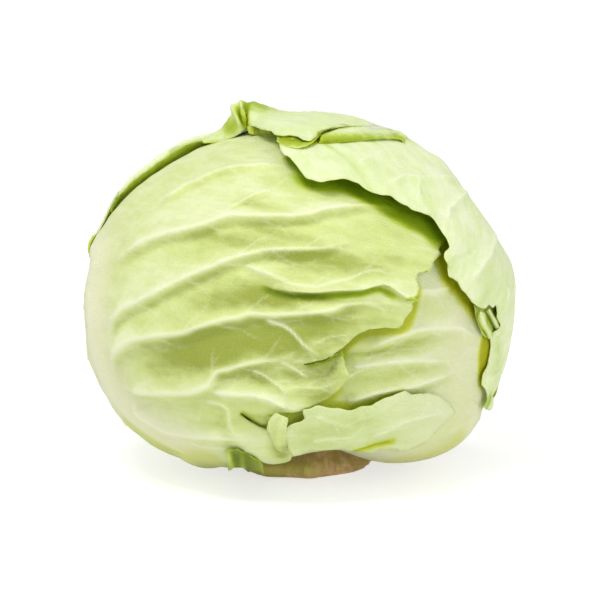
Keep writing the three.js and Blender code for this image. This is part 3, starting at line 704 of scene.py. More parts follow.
def curl_sheet(chart, columns, thickness, pieces):
    """A small curled part of a leaf through columns of (u, v, height, past, tone, under).

    Each corner is where its sight line meets the form at that height, or passes nearest, moved past.
    """
    net = np.array([rows_of(column, 6) for column in columns])
    rows = net.reshape(-1, 6)
    spots, toward = first_spots(rows, lambda d: np.zeros(len(d)), rows[:, 2])
    spots = spots + toward * rows[:, 3:4] + HEART_MIDDLE
    net = np.column_stack([spots, rows[:, 4:6]]).reshape(*net.shape[:2], 5)
    net = through(net, pieces)
    net = through(net.swapaxes(0, 1), pieces + 1).swapaxes(0, 1)
    wide, high = net.shape[:2]
    index = np.arange(wide * high).reshape(wide, high)
    a, b = index[:-1, :-1].ravel(), index[1:, :-1].ravel()
    c, d = index[1:, 1:].ravel(), index[:-1, 1:].ravel()
    triangles = np.concatenate([np.column_stack([a, b, c]), np.column_stack([a, c, d])])
    rows = net.reshape(-1, 5)
    points = rows[:, :3]
    if (vertex_normals(points, triangles) @ VIEW_TOWARD).mean() > 0:
        triangles = triangles[:, ::-1]
    crumple = np.sin(points @ (0.9, 0.5, 0.7)) * np.sin(points @ (-0.5, 0.8, 1.1) + 1)
    points = points + vertex_normals(points, triangles) * CRUMPLE_HEIGHT * crumple[:, None]
    steps_in = np.minimum(index // high, wide - 1 - index // high)
    steps_in = np.minimum(steps_in, index % high).ravel()
    directions = points - HEART_MIDDLE
    directions /= np.linalg.norm(directions, axis=1)[:, None]
    zero = np.zeros(len(points))
    # pale: a painted highlight along the curled part's rim; under: its painted shade
    values = {"pale": 0.25 * np.exp(-steps_in / 1.0), "near": zero + 6, "edge": steps_in * 0.8,
              "tone": rows[:, 3], "cream": zero, "under": np.clip(rows[:, 4], 0, 1), "high": zero}
    depth = thickness * (0.4 + 0.6 * smooth(0, 3, steps_in))
    return close_sheet(points, triangles, depth, chart.flatten(directions), values)


def tucked(columns):
    """Carries each column on over the horizon and down behind it."""
    longer = []
    for column in columns:
        u, v, _, _, tone, _ = rows_of(column, 6)[-1]
        sink = 0.5 * (v - column[0][1])
        longer.append(column + [(u + 0.4, v - 0.5, 0, 5, 0.6 * tone), (u + 0.4, v - sink, 0, 13, 0.3)])
    return longer


def shade_field(flat, shades):
    """Painted shade under other leaves' edges, from (path, left reach, right reach, depth) each."""
    total = np.zeros(len(flat))
    for path, left, right, depth in shades:
        distance, side, at = nearest_on_path(flat, path)
        share = at / (len(path) - 1)
        ends = smooth(-0.01, 0.12, share) * (1 - smooth(0.88, 1.01, share))
        reach = np.where(side > 0, left, right)
        total = np.maximum(total, depth * ends * np.exp(-((distance / reach) ** 3)))
    return total


def make_mesh(name, points, triangles, values, chart_points):
    """A smooth mesh object in metres, with its values as attributes and its chart points as UVs."""
    mesh = bpy.data.meshes.new(name)
    mesh.from_pydata((points * MM).tolist(), [], triangles.tolist())
    mesh.polygons.foreach_set("use_smooth", np.ones(len(mesh.polygons), bool))
    for key, value in values.items():
        layer = mesh.attributes.new(key, "FLOAT", "POINT")
        layer.data.foreach_set("value", value.astype(np.float32))
    loops = np.empty(len(mesh.loops), np.int32)
    mesh.loops.foreach_get("vertex_index", loops)
    uv = mesh.uv_layers.new(name="chart")
    uv.data.foreach_set("uv", (chart_points[loops] / 100).astype(np.float32).ravel())
    mesh.update()
    obj = bpy.data.objects.new(name, mesh)
    bpy.context.scene.collection.objects.link(obj)
    return obj


# ---------------------------------------------------------------- the leaves

def soft_spots(chart, height_at, spots):
    """Spots of deeper green and painted shade (u, v, half width, half height, strength) in the front view.
    """
    rows = np.array(spots, float)
    middles = chart.flatten(front(height_at, rows[:, :2])[:, :3])

    def strength(flat):
        total = np.zeros(len(flat))
        for middle, wide, high, weight in zip(middles, rows[:, 2], rows[:, 3], rows[:, 4]):
            away = (flat - middle) / (wide, high)
            total += weight * np.exp(-(away ** 2).sum(1))
        return total
    return strength


def swollen(height, *swellings):
    """A leaf's height over the heart, raised by (amount, longitude, latitude, spread) each."""
    def height_at(d):
        total = height
        for amount, longitude, latitude, spread in swellings:
            total = total + amount * swelling(d, longitude, latitude, spread)
        return total
    return height_at


def pens(chart, height_at):
    """What draws smooth paths over one leaf, and its folds, through corners in the front view."""
    def vein(*corners):
        return chart.line(front(height_at, corners))

    def fold(height, above, below, line, pale, corners, **shape):
        return Fold(vein(*corners), height, above, below, line=line, pale=pale, **shape)
    return vein, fold


# the visible edges of the leaves in the front view, along which painted shade is also laid on what lies
# under them
BACK_EDGE = [
    (-28, 151), (-26, 148.7), (-23, 148), (-20, 147.4), (-17.6, 145.6), (-15.8, 141.7), (-15, 137.7),
    (-13.2, 135.5), (-11, 134.2), (-8.8, 132), (-6.6, 129), (-4.4, 126.3), (-2.2, 125.4), (2.2, 123.6),
    (6.6, 124.1), (11, 124.5), (15.4, 124.1), (18.9, 123.2), (21.1, 121), (24.2, 119.7), (28.6, 118.4),
    (33, 117.5), (36, 115.7), (39.6, 113.5), (41.8, 111.8), (46.2, 110.4), (50.6, 108.2), (53.7, 104.7),
    (55.4, 101.6), (57.2, 98.6), (58.5, 95.5), (56.8, 93.7), (56.3, 91.1), (57.6, 88), (58.1, 85.8),
    (58.5, 83.2), (60.3, 81.8), (62.5, 80.1), (64.2, 77.4), (66, 75.2), (68.2, 72.2), (70.4, 70.4),
    (72.6, 69), (74.8, 69), (76.1, 70.4), (77.9, 69.1)]

# how far down the left leaf the deep painted shade of that edge comes
DEEP_SHADE = [
    (-8.4, 129.8), (-5.3, 126.7), (-1.8, 123.6), (3.1, 122.3), (8.8, 121.7), (14.5, 121), (18.9, 118.8),
    (22.4, 116.6), (28.6, 114.4), (33, 111.8), (37.4, 108.7), (42.2, 106), (47.1, 103.8), (51, 100.3),
    (53.7, 96.4), (54.6, 93.7)]

# Curled parts are columns of corners (u, v, height, past, tone, under), under being painted shade; values
# left out are zero.

# the back leaf's crumpled knot and the upper fold that runs right from it, from lip to horizon
CROWN = [
    [(-49.3, 142, 0, -6, 0.5, 0.2), (-49.5, 142.4, 0, -5, 0.4), (-49.7, 142.9, 0, -2, 0.3)],
    [(-45.3, 141.8, 0, -7, 0.5, 0.2), (-45.8, 143.2, 0, -6, 0.3), (-46.2, 145, 0, -2, 0.3)],
    [(-40.9, 142.5, 0, -8, 0.2), (-41.4, 144.8, 0, -7, 0.2), (-42.2, 147.6, 0, -2, 0.3)],
    [(-37, 143.8, 0, -9, 0.1), (-37.8, 147.4, 0, -8, 0.8, 0.15), (-38.9, 151.1, 0, -2, 0.7, 0.1)],
    [(-33.7, 145.4, 0, -10, 0.1), (-35.2, 149.8, 0, -9, 0.75, 0.15), (-36.6, 154.7, 0, -2, 0.3)],
    [(-31.7, 147, 0, -11, 0.3), (-33.9, 152.2, 0, -11, 0.45, 0.05), (-37.3, 157.5, 0, -2, 0.2)],
    [(-30.6, 148.1, 0, -11, 0.8, 0.5), (-32.6, 153.8, 0, -6, 1.1, 0.8), (-34.5, 159, 0, -2, 0.3)],
    [(-30.1, 148.6, 0, -12, 0.8, 0.6), (-31.7, 154.9, 0, -12, 0.5, 0.05), (-32.8, 160.3, 0, -2, 0.3)],
    [(-29.8, 148.9, 0, -12, 0.8, 0.6), (-30.6, 154.4, 0, -6, 1, 0.6), (-30.4, 159.1, 0, -2, 1, 0.5)],
    [(-29, 149.7, 0, -15, 0.5, 0.1), (-28.6, 154.4, 0, -12, 0.4), (-27.3, 159.6, 0, -2, 0.9, 0.15)],
    [(-26.8, 149, 0, -20, 0.2), (-25.1, 153.6, 0, -16, 0.3), (-23.3, 158.5, 0, -2, 0.9, 0.1)],
    [(-23.3, 147.8, 10.4, 0, 0.2), (-21.1, 152.2, 12.8, 0, 0.2), (-18.9, 157, 0, -2, 0.6)],
    [(-19.8, 147.2, 11.2, 0, 0.2), (-17.6, 151.4, 13, 0, 0.1), (-15, 155.8, 0, -2, 0.3)],
    [(-17.6, 145.6, 11.6, 0, 0.2), (-14.1, 150.7, 13.1, 0, 0.1), (-10.6, 155.3, 0, -2, 0.2)],
    [(-14.1, 145.1, 12.1, 0, 0.2), (-10.1, 150.5, 13.2, 0, 0.1), (-5.7, 155.2, 0, -2, 0.1)],
    [(-11, 145.3, 12.5, 0, 0.2), (-7, 150.3, 13.2, 0, 0.1), (-1.8, 155.3, 0, -2, 0.1)],
    [(-7.9, 144.8, 12.7, 0, 0.2), (-4, 150, 13.3, 0, 0.1), (2.2, 155.2, 0, -2, 0.1)],
    [(-5.3, 143.4, 13, 0, 0.2), (-0.9, 149.6, 13.3, 0, 0.1), (6.6, 154.8, 0, -2, 0.1)],
    [(-2.6, 142.9, 13.2, 0, 0.3), (2.2, 149.4, 13.2, 0, 0.15), (11, 154.2, 0, -2, 0.1)],
    [(-0.9, 143.9, 13.3, 0, 0.3), (4.8, 149.5, 13.1, 0, 0.15), (15, 153.6, 0, -2, 0.1)],
    [(0.9, 145.9, 13.3, 0, 0.3), (7.5, 149.6, 13, 0, 0.15), (18.5, 152.7, 0, -2, 0.1)],
    [(3.1, 147.2, 13.2, 0, 0.3), (10.1, 149.7, 12.9, 0, 0.15), (21.6, 151.7, 0, -2, 0.1)],
    [(6.6, 148.1, 12.8, 0, 0.2), (13.6, 149.7, 12.8, 0, 0.1), (24.6, 150.4, 0, -2, 0.1)],
    [(11, 148.6, 12.2, 0, 0.2), (18, 149.6, 12.4, 0, 0.1), (28.2, 149.3, 0, -2, 0.1)],
    [(16.3, 148.5, 11, 0, 0.2), (22.4, 148.4, 11.2, 0, 0.1), (31.2, 148, 0, -2, 0.1)]]

# the edge of that fold, turned under
LIP = [
    [(-16.9, 142.6, 10.8, 0, 0.5, 0.1), (-16.7, 143.9, 11, 0, 1, 0.5), (-16.7, 145.4, 11, 3, 1, 0.9)],
    [(-14.1, 140.8, 11.3, 0, 0.5, 0.1), (-14.1, 143, 11.5, 0, 0.9, 0.4),
     (-14.1, 144.5, 11.3, 3, 1, 0.9)],
    [(-11, 139.8, 11.8, 0, 0.5, 0.1), (-11, 142.1, 11.8, 0, 0.8, 0.3), (-11, 144.8, 11.4, 3, 1, 0.9)],
    [(-7.9, 139.6, 12.1, 0, 0.5, 0.1), (-7.5, 141.9, 12, 0, 0.8, 0.3), (-7.5, 144.1, 11.5, 3, 1, 0.9)],
    [(-4.4, 140.3, 12.3, 0, 0.5, 0.1), (-4.4, 141.7, 12.3, 0, 0.8, 0.3), (-4.4, 143, 11.8, 3, 1, 0.9)],
    [(-1.3, 142, 12.5, 0, 0.6, 0.2), (-1.8, 142.8, 12.4, 0, 0.9, 0.5), (-2.2, 143.7, 11.9, 2, 1, 0.9)],
    [(0.9, 144, 12.5, 0, 0.6, 0.3), (0.2, 144.6, 12.4, 0, 1, 0.6), (-0.4, 145.2, 11.8, 2, 1, 0.9)],
    [(2.6, 145.7, 12.4, 0, 0.6, 0.3), (2.2, 146.2, 12.2, 0, 1, 0.6), (1.8, 146.6, 11.8, 2, 1, 0.9)]]

# the rolled pleat to the right of it
ROLL = [
    [(1.8, 141.3, 10, 0, 1, 0.6), (2.2, 143, 11.4, 0, 0.9, 0.4), (2.6, 144.8, 11.8, 0, 0.8, 0.3),
     (3.1, 146.1, 11.2, 2, 1, 0.6)],
    [(7.5, 141.5, 10, 0, 0.9, 0.5), (7.5, 143.7, 12.2, 0, 0.85, 0.25), (7.9, 146.5, 12.8, 0, 0.3),
     (8.4, 147.6, 12.2, 3, 0.6, 0.3)],
    [(13.2, 142.1, 10.2, 0, 0.8, 0.4), (13.2, 144.3, 12.3, 0, 0.75, 0.15), (13.2, 147.2, 12.8, 0, 0.1),
     (13.6, 148.9, 12.4, 4, 0.3, 0.1)],
    [(19.8, 142.6, 10.2, 0, 0.7, 0.25), (19.8, 144.8, 12.6, 0, 0.7, 0.1), (19.8, 147.6, 13.3, 0, 0.1),
     (20.2, 149.6, 0, -8, 0.15)],
    [(25.5, 143.1, 10.5, 0, 0.6, 0.2), (25.5, 145.2, 12.6, 0, 0.65, 0.05), (25.5, 147.8, 0, -14, 0.1),
     (26, 149.6, 0, -4, 0.15)],
    [(30.8, 143.6, 11.2, 0, 0.6, 0.2), (30.8, 145.3, 12.6, 0, 0.6), (30.8, 147.6, 0, -9, 0.1),
     (31.2, 148.4, 0, 0, 0.15)],
    [(35.2, 143.9, 12, 0, 0.8, 0.3), (35.4, 145.3, 0, -10, 0.6, 0.1), (36.1, 147, 0, -4, 0.2),
     (36.5, 147, 0, 3, 0.2)],
    [(38.3, 143, 11.8, 0, 0.9, 0.3), (38.7, 144.1, 0, -9, 0.7, 0.1), (39.4, 145.5, 0, -3, 0.3),
     (39.8, 145.2, 0, 3, 0.3)],
    [(40.6, 140.2, 10.2, 0, 0.6, 0.1), (41, 141.2, 0, -7, 0.5), (41.8, 142.3, 0, -2, 0.3),
     (42, 142, 0, 3, 0.3)]]

# the rolled rim along the outline on the left, in columns from its tip up to the knot: the near edge of
# the leaf's green inside, the far edge of that, and the outline
RIM_LINES = [
    ((-97.68, 90.2), (-99, 91.52), (-99.44, 91.96)), ((-96.36, 93.94), (-99, 95.7), (-99.88, 96.14)),
    ((-95.26, 97.46), (-97.68, 99.22), (-98.56, 99.88)),
    ((-93.5, 101.2), (-95.26, 102.52), (-95.92, 103.18)),
    ((-90.86, 106.26), (-92.62, 107.36), (-93.28, 108.24)),
    ((-87.78, 111.76), (-89.99, 113.08), (-90.64, 113.74)),
    ((-85.14, 115.72), (-87.12, 117.48), (-88, 118.36)),
    ((-81.18, 119.46), (-83.16, 121.66), (-84.26, 122.99)),
    ((-76.78, 122.76), (-79.2, 125.62), (-80.52, 127.38)),
    ((-72.38, 126.06), (-74.58, 128.92), (-75.9, 130.68)),
    ((-67.98, 129.14), (-70.17, 132.22), (-71.5, 134.2)),
    ((-63.59, 132.22), (-65.78, 135.3), (-67.19, 137.37)),
    ((-59.18, 134.86), (-61.38, 138.16), (-62.79, 140.1)),
    ((-54.78, 137.5), (-56.76, 140.67), (-58.21, 142.56)),
    ((-50.38, 139.34), (-51.91, 142.12), (-53.24, 144.41)),
    ((-46.2, 140.8), (-47.3, 142.56), (-48.84, 145.42)),
    ((-42.68, 141.77), (-43.12, 142.56), (-45.1, 145.86))]

# (share of the way to the next line, past, then tone and painted shade at the tip, along the rim and at the
# knot)
RIM_PROFILE = [
    (0, 8, (0.5, 0.3), (0.7, 0.4), (1, 0.16)), (0.5, 5, (0.3, 0.25), (0.6, 0.3), (0.9, 0.12)),
    (0.85, 3, (0.2, 0.2), (0.5, 0.25), (0.8, 0.1)), (1.12, 1, (0.2, 0.2), (0.1, 0), (0.1, 0)),
    (2, 2, (0.2, 0.2), (0, 0), (0, 0)), (1.75, 8, (0.2, 0.1), (0, 0), (0, 0))]
RIM_TIP_COLUMNS = 3


def rolled_rim():
    """Columns of corners over the rim's green inside, on to the outline and back behind it, in tenths."""
    columns = []
    for i, lines in enumerate(np.array(RIM_LINES)):
        part = 0 if i < RIM_TIP_COLUMNS else 2 if i == len(RIM_LINES) - 1 else 1
        column = []
        for share, past, *tones in RIM_PROFILE:
            line = min(int(share), 1)
            u, v = np.round(lines[line] + (lines[line + 1] - lines[line]) * (share - line), 1)
            column.append((u, v, 0, past, *tones[part]))
        columns.append(column)
    return columns


# a small torn tab that stands off that rim
RIM_TAB = [
    [(-90.1, 111.3, 0, 2, 0.7, 0.1), (-89.3, 110.7, 0, 3, 0.9, 0.3)],
    [(-89, 115.1, 0, 1, 0.5), (-87.6, 114.2, 0, 3, 0.8, 0.2)],
    [(-87.3, 118.8, 0, 0, 0.4), (-85.6, 117.3, 0, 3, 0.8, 0.2)],
    [(-86.2, 120.4, 0, 0, 0.4), (-85.1, 119.7, 0, 2, 0.7, 0.1)]]

# the green inside of the leaf below the knot's lip
LIP_LINING = [[(u, v, 0, past, 0.25, 0.25) for u, v, past in column] for column in [
    [(-30.1, 148.9, -13), (-29.7, 147.6, -13), (-29.3, 146.1, -14)],
    [(-27.7, 149.2, -15), (-27.3, 147.2, -15), (-27.1, 145.4, -15)],
    [(-25.1, 148.5, -16), (-24.6, 146.7, -16), (-24.4, 145, -16)],
    [(-22.4, 147.6, -17), (-22, 146.1, -17), (-21.6, 144.3, -17)],
    [(-19.8, 146.7, -18), (-19.1, 145, -18), (-18.5, 143.2, -18)],
    [(-17.6, 145.4, -18), (-16.7, 143.4, -19), (-15.8, 141.7, -20)]]]

# the hollow behind the torn edge on the right, and two ribbons in it
CAVITY = [
    [(70, 70.4, 6.5, 0, 0.7, 0.12), (71.1, 64.7, 6.8, 0, 0.6, 0.15), (73.5, 57.6, 6.6, 0, 0.5, 0.12)],
    [(73.5, 70.8, 7, 0, 0.7, 0.15), (74.6, 64.7, 7.2, 0, 0.6, 0.12), (76.1, 55.9, 7, 0, 0.5, 0.12)],
    [(77, 71.3, 7.2, 0, 0.7, 0.2), (77.9, 64.7, 7.4, 0, 0.6, 0.15), (79.6, 57.6, 7.2, 0, 0.5, 0.1)],
    [(81.4, 70.8, 7.6, 0, 0.6, 0.1), (82.3, 65.1, 7.8, 0, 0.5, 0.1), (83.2, 59.4, 7.6, 0, 0.5, 0.1)]]

RIBBON_NEAR = [
    [(71.5, 66, 8, 0, 0.5, 0.15), (73, 67.5, 10, 0, 0.2), (75.2, 66.4, 8.3, 0, 0.6, 0.2)],
    [(71.9, 63.6, 8, 0, 0.5, 0.15), (73.7, 64.7, 10, 0, 0.05), (75.7, 64, 8.3, 0, 0.6, 0.2)],
    [(73.3, 60.7, 8, 0, 0.5, 0.15), (74.8, 61.6, 9.8, 0, 0.05), (76.6, 61.4, 8.3, 0, 0.6, 0.2)],
    [(75, 58.1, 7.8, 0, 0.5, 0.15), (76.3, 58.5, 9.4, 0, 0.1), (78, 58.7, 8.1, 0, 0.6, 0.2)],
    [(76.3, 55.4, 7.5, 0, 0.5, 0.1), (77.4, 55.9, 8.4, 0, 0.2), (78.7, 56.3, 8, 0, 0.5, 0.1)]]

RIBBON_FAR = [
    [(75.3, 67.5, 8.5, 0, 0.5, 0.1), (76.6, 68.6, 10.2, 0, 0.2), (78, 67.8, 8.7, 0, 0.5, 0.2)],
    [(76.6, 64.9, 8.5, 0, 0.5, 0.1), (77.8, 65.6, 10.2, 0, 0.05), (79.2, 65.1, 8.7, 0, 0.5, 0.2)],
    [(78.1, 62.5, 8.5, 0, 0.5, 0.1), (79.3, 63, 10.2, 0, 0.05), (80.6, 62.8, 8.9, 0, 0.5, 0.2)],
    [(79.5, 59.8, 8.5, 0, 0.5, 0.1), (80.6, 60.3, 10, 0, 0.2), (81.8, 60.3, 9, 0, 0.5, 0.1)]]

# the left leaf's small flap that stands up low in the middle
FLAP = [
    [(-21.3, 16.1, 7.4, 0, 0.3), (-20.5, 14.5, 6.8, 0, 0.35), (-19.1, 11, 6, 0, 0.4),
     (-17.6, 7.9, 5.2, 0, 0.4)],
    [(-20, 20, 9, 0, 0.2), (-18.9, 16.3, 7.6, 0, 0.3), (-17.6, 10.6, 6.6, 0, 0.4),
     (-16.3, 6.4, 5.3, 0, 0.5)],
    [(-17.4, 22.5, 10, 0, 0.15), (-16.5, 17.2, 8.4, 0, 0.25), (-16, 10.1, 7, 0, 0.4),
     (-15, 5.5, 5.4, 0, 0.6)],
    [(-14.3, 21.6, 9.6, 0, 0.15), (-14.2, 16.3, 8.2, 0, 0.25), (-14.3, 10.3, 6.8, 0, 0.45),
     (-13.6, 5.9, 5.4, 0, 0.7)],
    [(-11.7, 20.5, 8, 0, 0.3), (-12.4, 15.8, 7.4, 0, 0.35), (-12.8, 11.2, 6.6, 0, 0.5),
     (-11.9, 7.9, 5.4, 0, 0.7)]]

# the torn green remnant under the left leaf's lower edge, beside the stump
SCRAP = [
    [(-39.7, 6.4, 6.6, 0, 0.6, 0.1), (-39, 2.6, 6.4, 0, 0.4, 0.1), (-38.1, -2.4, 5.8, 0, 0.3, 0.15)],
    [(-38.1, 6.6, 6.8, 0, 0.7, 0.2), (-37.6, 2.6, 6.6, 0, 0.3, 0.15), (-36.7, -2.1, 6, 0, 0.3, 0.2)],
    [(-36.3, 6.7, 6.2, 0, 0.9, 0.4), (-35.9, 3.5, 5.2, 0, 0.9, 0.5), (-35.2, -0.4, 5.4, 0, 0.8, 0.4)],
    [(-34.5, 6.7, 6.8, 0, 0.9, 0.5), (-34.1, 3.7, 5, 0, 1, 0.7), (-33.4, -1.1, 5.4, 0, 0.8, 0.4)],
    [(-32.6, 6.2, 6, 0, 1, 0.5), (-32.1, 3.1, 6.2, 0, 0.9, 0.4), (-31.5, -1.5, 5.4, 0, 0.5, 0.3)],
    [(-30.1, 5.1, 5, 0, 1, 0.7), (-29.7, 2.2, 5, 0, 1, 0.6), (-29.3, -2.9, 5.2, 0, 0.8, 0.3)],
    [(-27.3, 3.3, 5.8, 0, 0.9, 0.4), (-26.8, 1.1, 5.4, 0, 0.9, 0.4), (-26.2, -2.2, 5.2, 0, 0.7, 0.3)],
    [(-23.8, 1.5, 5, 0, 0.8, 0.4), (-23.1, -0.4, 5.2, 0, 0.6, 0.3), (-22.4, -4.2, 5.6, 0, 0.4, 0.3)]]


def left_leaf():
    """The big left leaf, whose pleats sweep right from a broad midrib on the left outline."""
    chart = Chart(222, 8)
    height_at = swollen(3.7, (3.1, 177, 30, 0.3), (2.3, 212, -47, 0.3), (-1.7, 221, -48, 0.19),
                        (-0.8, 196, -36, 0.13), (-0.5, 183, 3, 0.2), (-0.9, 189, -21, 0.2))
    vein, fold = pens(chart, height_at)
    midrib = chart.line(np.concatenate([
        base([(192, 29), (200, 42)]),
        front(height_at, [
            (-57, 7.5), (-68, 13.5), (-77, 20.5), (-84, 27.5), (-89.5, 36), (-93.5, 45.5), (-95.5, 53),
            (-96.5, 64), (-97, 72.5), (-96.5, 81.5), (-94.5, 89.5)]),
        hidden([(169, 22), (157, 31), (142, 41), (122, 52)]),
    ]))
    folds = [
        Fold(midrib, 1.2, 9, 9, bead=1.6, line=7, pale=0.3, fade_in=0.01, fade_out=0.5, shade=0),
        fold(1.7, 7, 2.6, 0.7, 0.85, [(-68, 115.5), (-61.5, 118.5), (-57, 122), (-50.5, 124.5),
            (-44, 127.5), (-37.5, 129.5), (-28.5, 130.5), (-20, 131), (-11, 130.5)]),
        fold(3.4, 8, 2.7, 0.9, 1, [(-86, 89.5), (-72.5, 97.5), (-64, 100.5), (-59.5, 101.5),
            (-50.5, 103.5), (-45.5, 105), (-37.5, 108), (-28.5, 108), (-11, 108), (-2, 109), (2, 110.5),
            (11, 112), (15.5, 112.5), (28.5, 113.5), (37.5, 112.5)], groove=0.6),
        fold(1.8, 5, 2.6, 0.6, 0.7, [(-37.5, 111.5), (-33, 114), (-28.5, 116.5), (-24, 118.5),
            (-18, 120.5)]),
        fold(3.0, 8, 2.9, 0.9, 1, [(-89.5, 53), (-88, 59.5), (-86, 64.5), (-81.5, 69), (-77, 71),
            (-72.5, 73.5), (-64, 78), (-55, 82.5), (-46, 86), (-37.5, 89.5), (-28.5, 92), (-22, 93.5),
            (-11, 94), (3, 94.5), (9, 96.5), (13, 97.5), (20, 99)], groove=0.5),
        fold(1.6, 6, 2.4, 0.7, 0.8, [(-33, 88.4), (-28.6, 87.1), (-24.2, 85.4), (-19.8, 83.6),
            (-15.4, 81.8), (-11, 80.1), (-6.6, 79.4), (-2.2, 79), (2.2, 79.3), (6.6, 80.6), (13.2, 81.8),
            (17.6, 83.2), (20.7, 84.6), (24.2, 85.3), (28.6, 85.7), (31.7, 86.2), (35.2, 84.4)],
            fade_in=0.1, shade=0.3),
        fold(4.2, 6, 1.5, 0.5, 0.35, [(-24, 80.5), (-19.8, 78.4), (-13.2, 77.2), (-6.6, 76.8), (0, 76.7),
            (4.4, 77), (8.8, 77.4), (15.4, 77.5), (19.8, 77.9), (23.3, 79), (27.7, 79.8), (30.4, 79),
            (33, 76.8), (35.2, 74.9), (37.4, 73.2), (40.5, 72.8), (44, 73)], groove=0.8, overhang=2.4,
            bead=0.1, fade_in=0.35, fade_out=0.02),
        fold(2.8, 7, 2.8, 1.0, 1, [(-87, 37.5), (-87.5, 44), (-86, 49.5), (-82.5, 53), (-77, 55.5),
            (-68, 57), (-57, 58.5), (-48.5, 61.5), (-39.5, 64), (-33, 65), (-28.5, 66.5), (-20, 66),
            (-2, 67), (6.5, 68), (11, 70), (20, 71), (31, 71), (37.5, 70.5)], groove=0.5),
        fold(1.4, 5, 3.2, 0.7, 1, [(-22, 64), (-15.5, 62), (-11, 59.5), (-8, 56.5), (-5.5, 53.5),
            (-3, 51.5), (2, 48.5)]),
        fold(0.9, 5, 3.5, 0.5, 0.5, [(-2, 53), (2, 55), (6.5, 57), (15.5, 57.5)]),
        fold(2.5, 7.5, 3.0, 0.95, 1, [(-82.5, 34), (-77, 33), (-61.5, 32.5), (-53, 33), (-48.5, 34.5),
            (-46, 36), (-44.5, 38.5), (-42, 42), (-37.5, 43), (-28.5, 45.5), (-22, 46.5), (-15.5, 47),
            (-12, 47.5), (-10, 49.5), (-6.5, 51), (-3, 51.5)], groove=0.4),
        fold(1.0, 5, 3.6, 0.7, 1, [(-15.5, 46), (-11, 44), (-8, 42), (-5.5, 40), (-2, 39)]),
        fold(1.4, 5, 3.6, 0.6, 0.8, [(-28.5, 42.5), (-24, 41), (-20, 38.5), (-15.5, 35.5), (-13, 33),
            (-13.5, 29.5)]),
        fold(1.6, 6, 3.6, 0.9, 1, [(-46, 33), (-33, 32), (-26.5, 31.5), (-20, 30), (-15.5, 27.5),
            (-11, 25.5), (-6.5, 24)]),
        fold(0.8, 5, 4, 0.5, 0.6, [(-13, 34), (-6.5, 35), (2, 35), (6.5, 36.5), (11, 39.5)]),
        fold(1.8, 7, 3.5, 1.1, 1, [(-79, 30), (-77, 24), (-68, 17.5), (-64, 15.5), (-57, 14),
            (-48.5, 13.5), (-39.5, 13), (-33, 12), (-28.5, 9)]),
        fold(0.7, 3, 3, 0.6, 0.8, [(-48.5, 28.5), (-41, 27.5), (-38.5, 25.5), (-37.5, 22), (-37.5, 17.5),
            (-35, 14.5), (-31, 11)]),
        fold(0.5, 3, 3, 0.6, 0.6, [(-55, 11), (-48.4, 8.8), (-41.8, 7.9), (-33, 7)]),
    ]
    folds += side_veins(midrib, 1, 7, 62, 34, start=0.34, height=0.7, above=9, below=6, line=0.6, pale=0.5)
    # tone spots: deeper green, partly the blade's own and partly painted shade in the hollows below the
    # pleats and on the lower half
    tone = soft_spots(chart, height_at, [
        (-20, 66, 62, 38, 0.14), (-60, 108, 26, 12, -0.16), (-30, 97, 28, 5, 0.55),
        (-15, 101, 22, 5, 0.55), (-50, 94, 12, 5, 0.35), (8, 104, 26, 5, 0.32), (30, 104, 14, 6, 0.3),
        (16, 88, 20, 6, 0.62), (34, 90, 12, 6, 0.35), (-4, 86, 14, 5, 0.4), (-18, 73, 13, 6, 0.85),
        (-34, 76, 16, 8, 0.4), (-58, 68, 18, 7, 0.12), (-40, 70, 16, 5, 0.35), (6, 72, 14, 3, 0.6),
        (12, 64, 24, 5, 0.38), (32, 66, 9, 5, 0.35), (0, 60, 16, 5, 0.55), (-30, 55, 20, 8, 0.75),
        (-52, 48, 18, 9, 0.55), (-14, 54, 12, 6, 0.5), (-68, 44, 12, 8, 0.35), (-42, 47, 16, 6, 0.4),
        (-24, 38, 12, 5, 0.44), (-8, 40, 8, 5, 0.38), (4, 42, 8, 8, 0.5), (4, 30, 10, 5, 0.6),
        (-24, 112.5, 13, 4, 0.5), (-20, 125, 20, 4, 0.18), (4, 118, 16, 5, 0.25), (-62, 23, 14, 6, -0.08),
        (-40, 20, 12, 6, 0.3), (-24, 21, 9, 4, 0.5), (-15.5, 6, 4.5, 9, 0.8), (-50, 60, 10, 4, 0.2),
        (-75, 60, 8, 5, 0.2), (-44, 100, 10, 3, 0.25)])

    def cream(flat, directions):
        distance, side, at = nearest_on_path(flat, midrib)
        share = at / (len(midrib) - 1)
        width = np.where(side < 0, 15 + 6 * smooth(0.5, 0.1, share), 26)
        return np.exp(-(distance / width) ** 2.4) * (1 - smooth(0.5, 0.95, share))

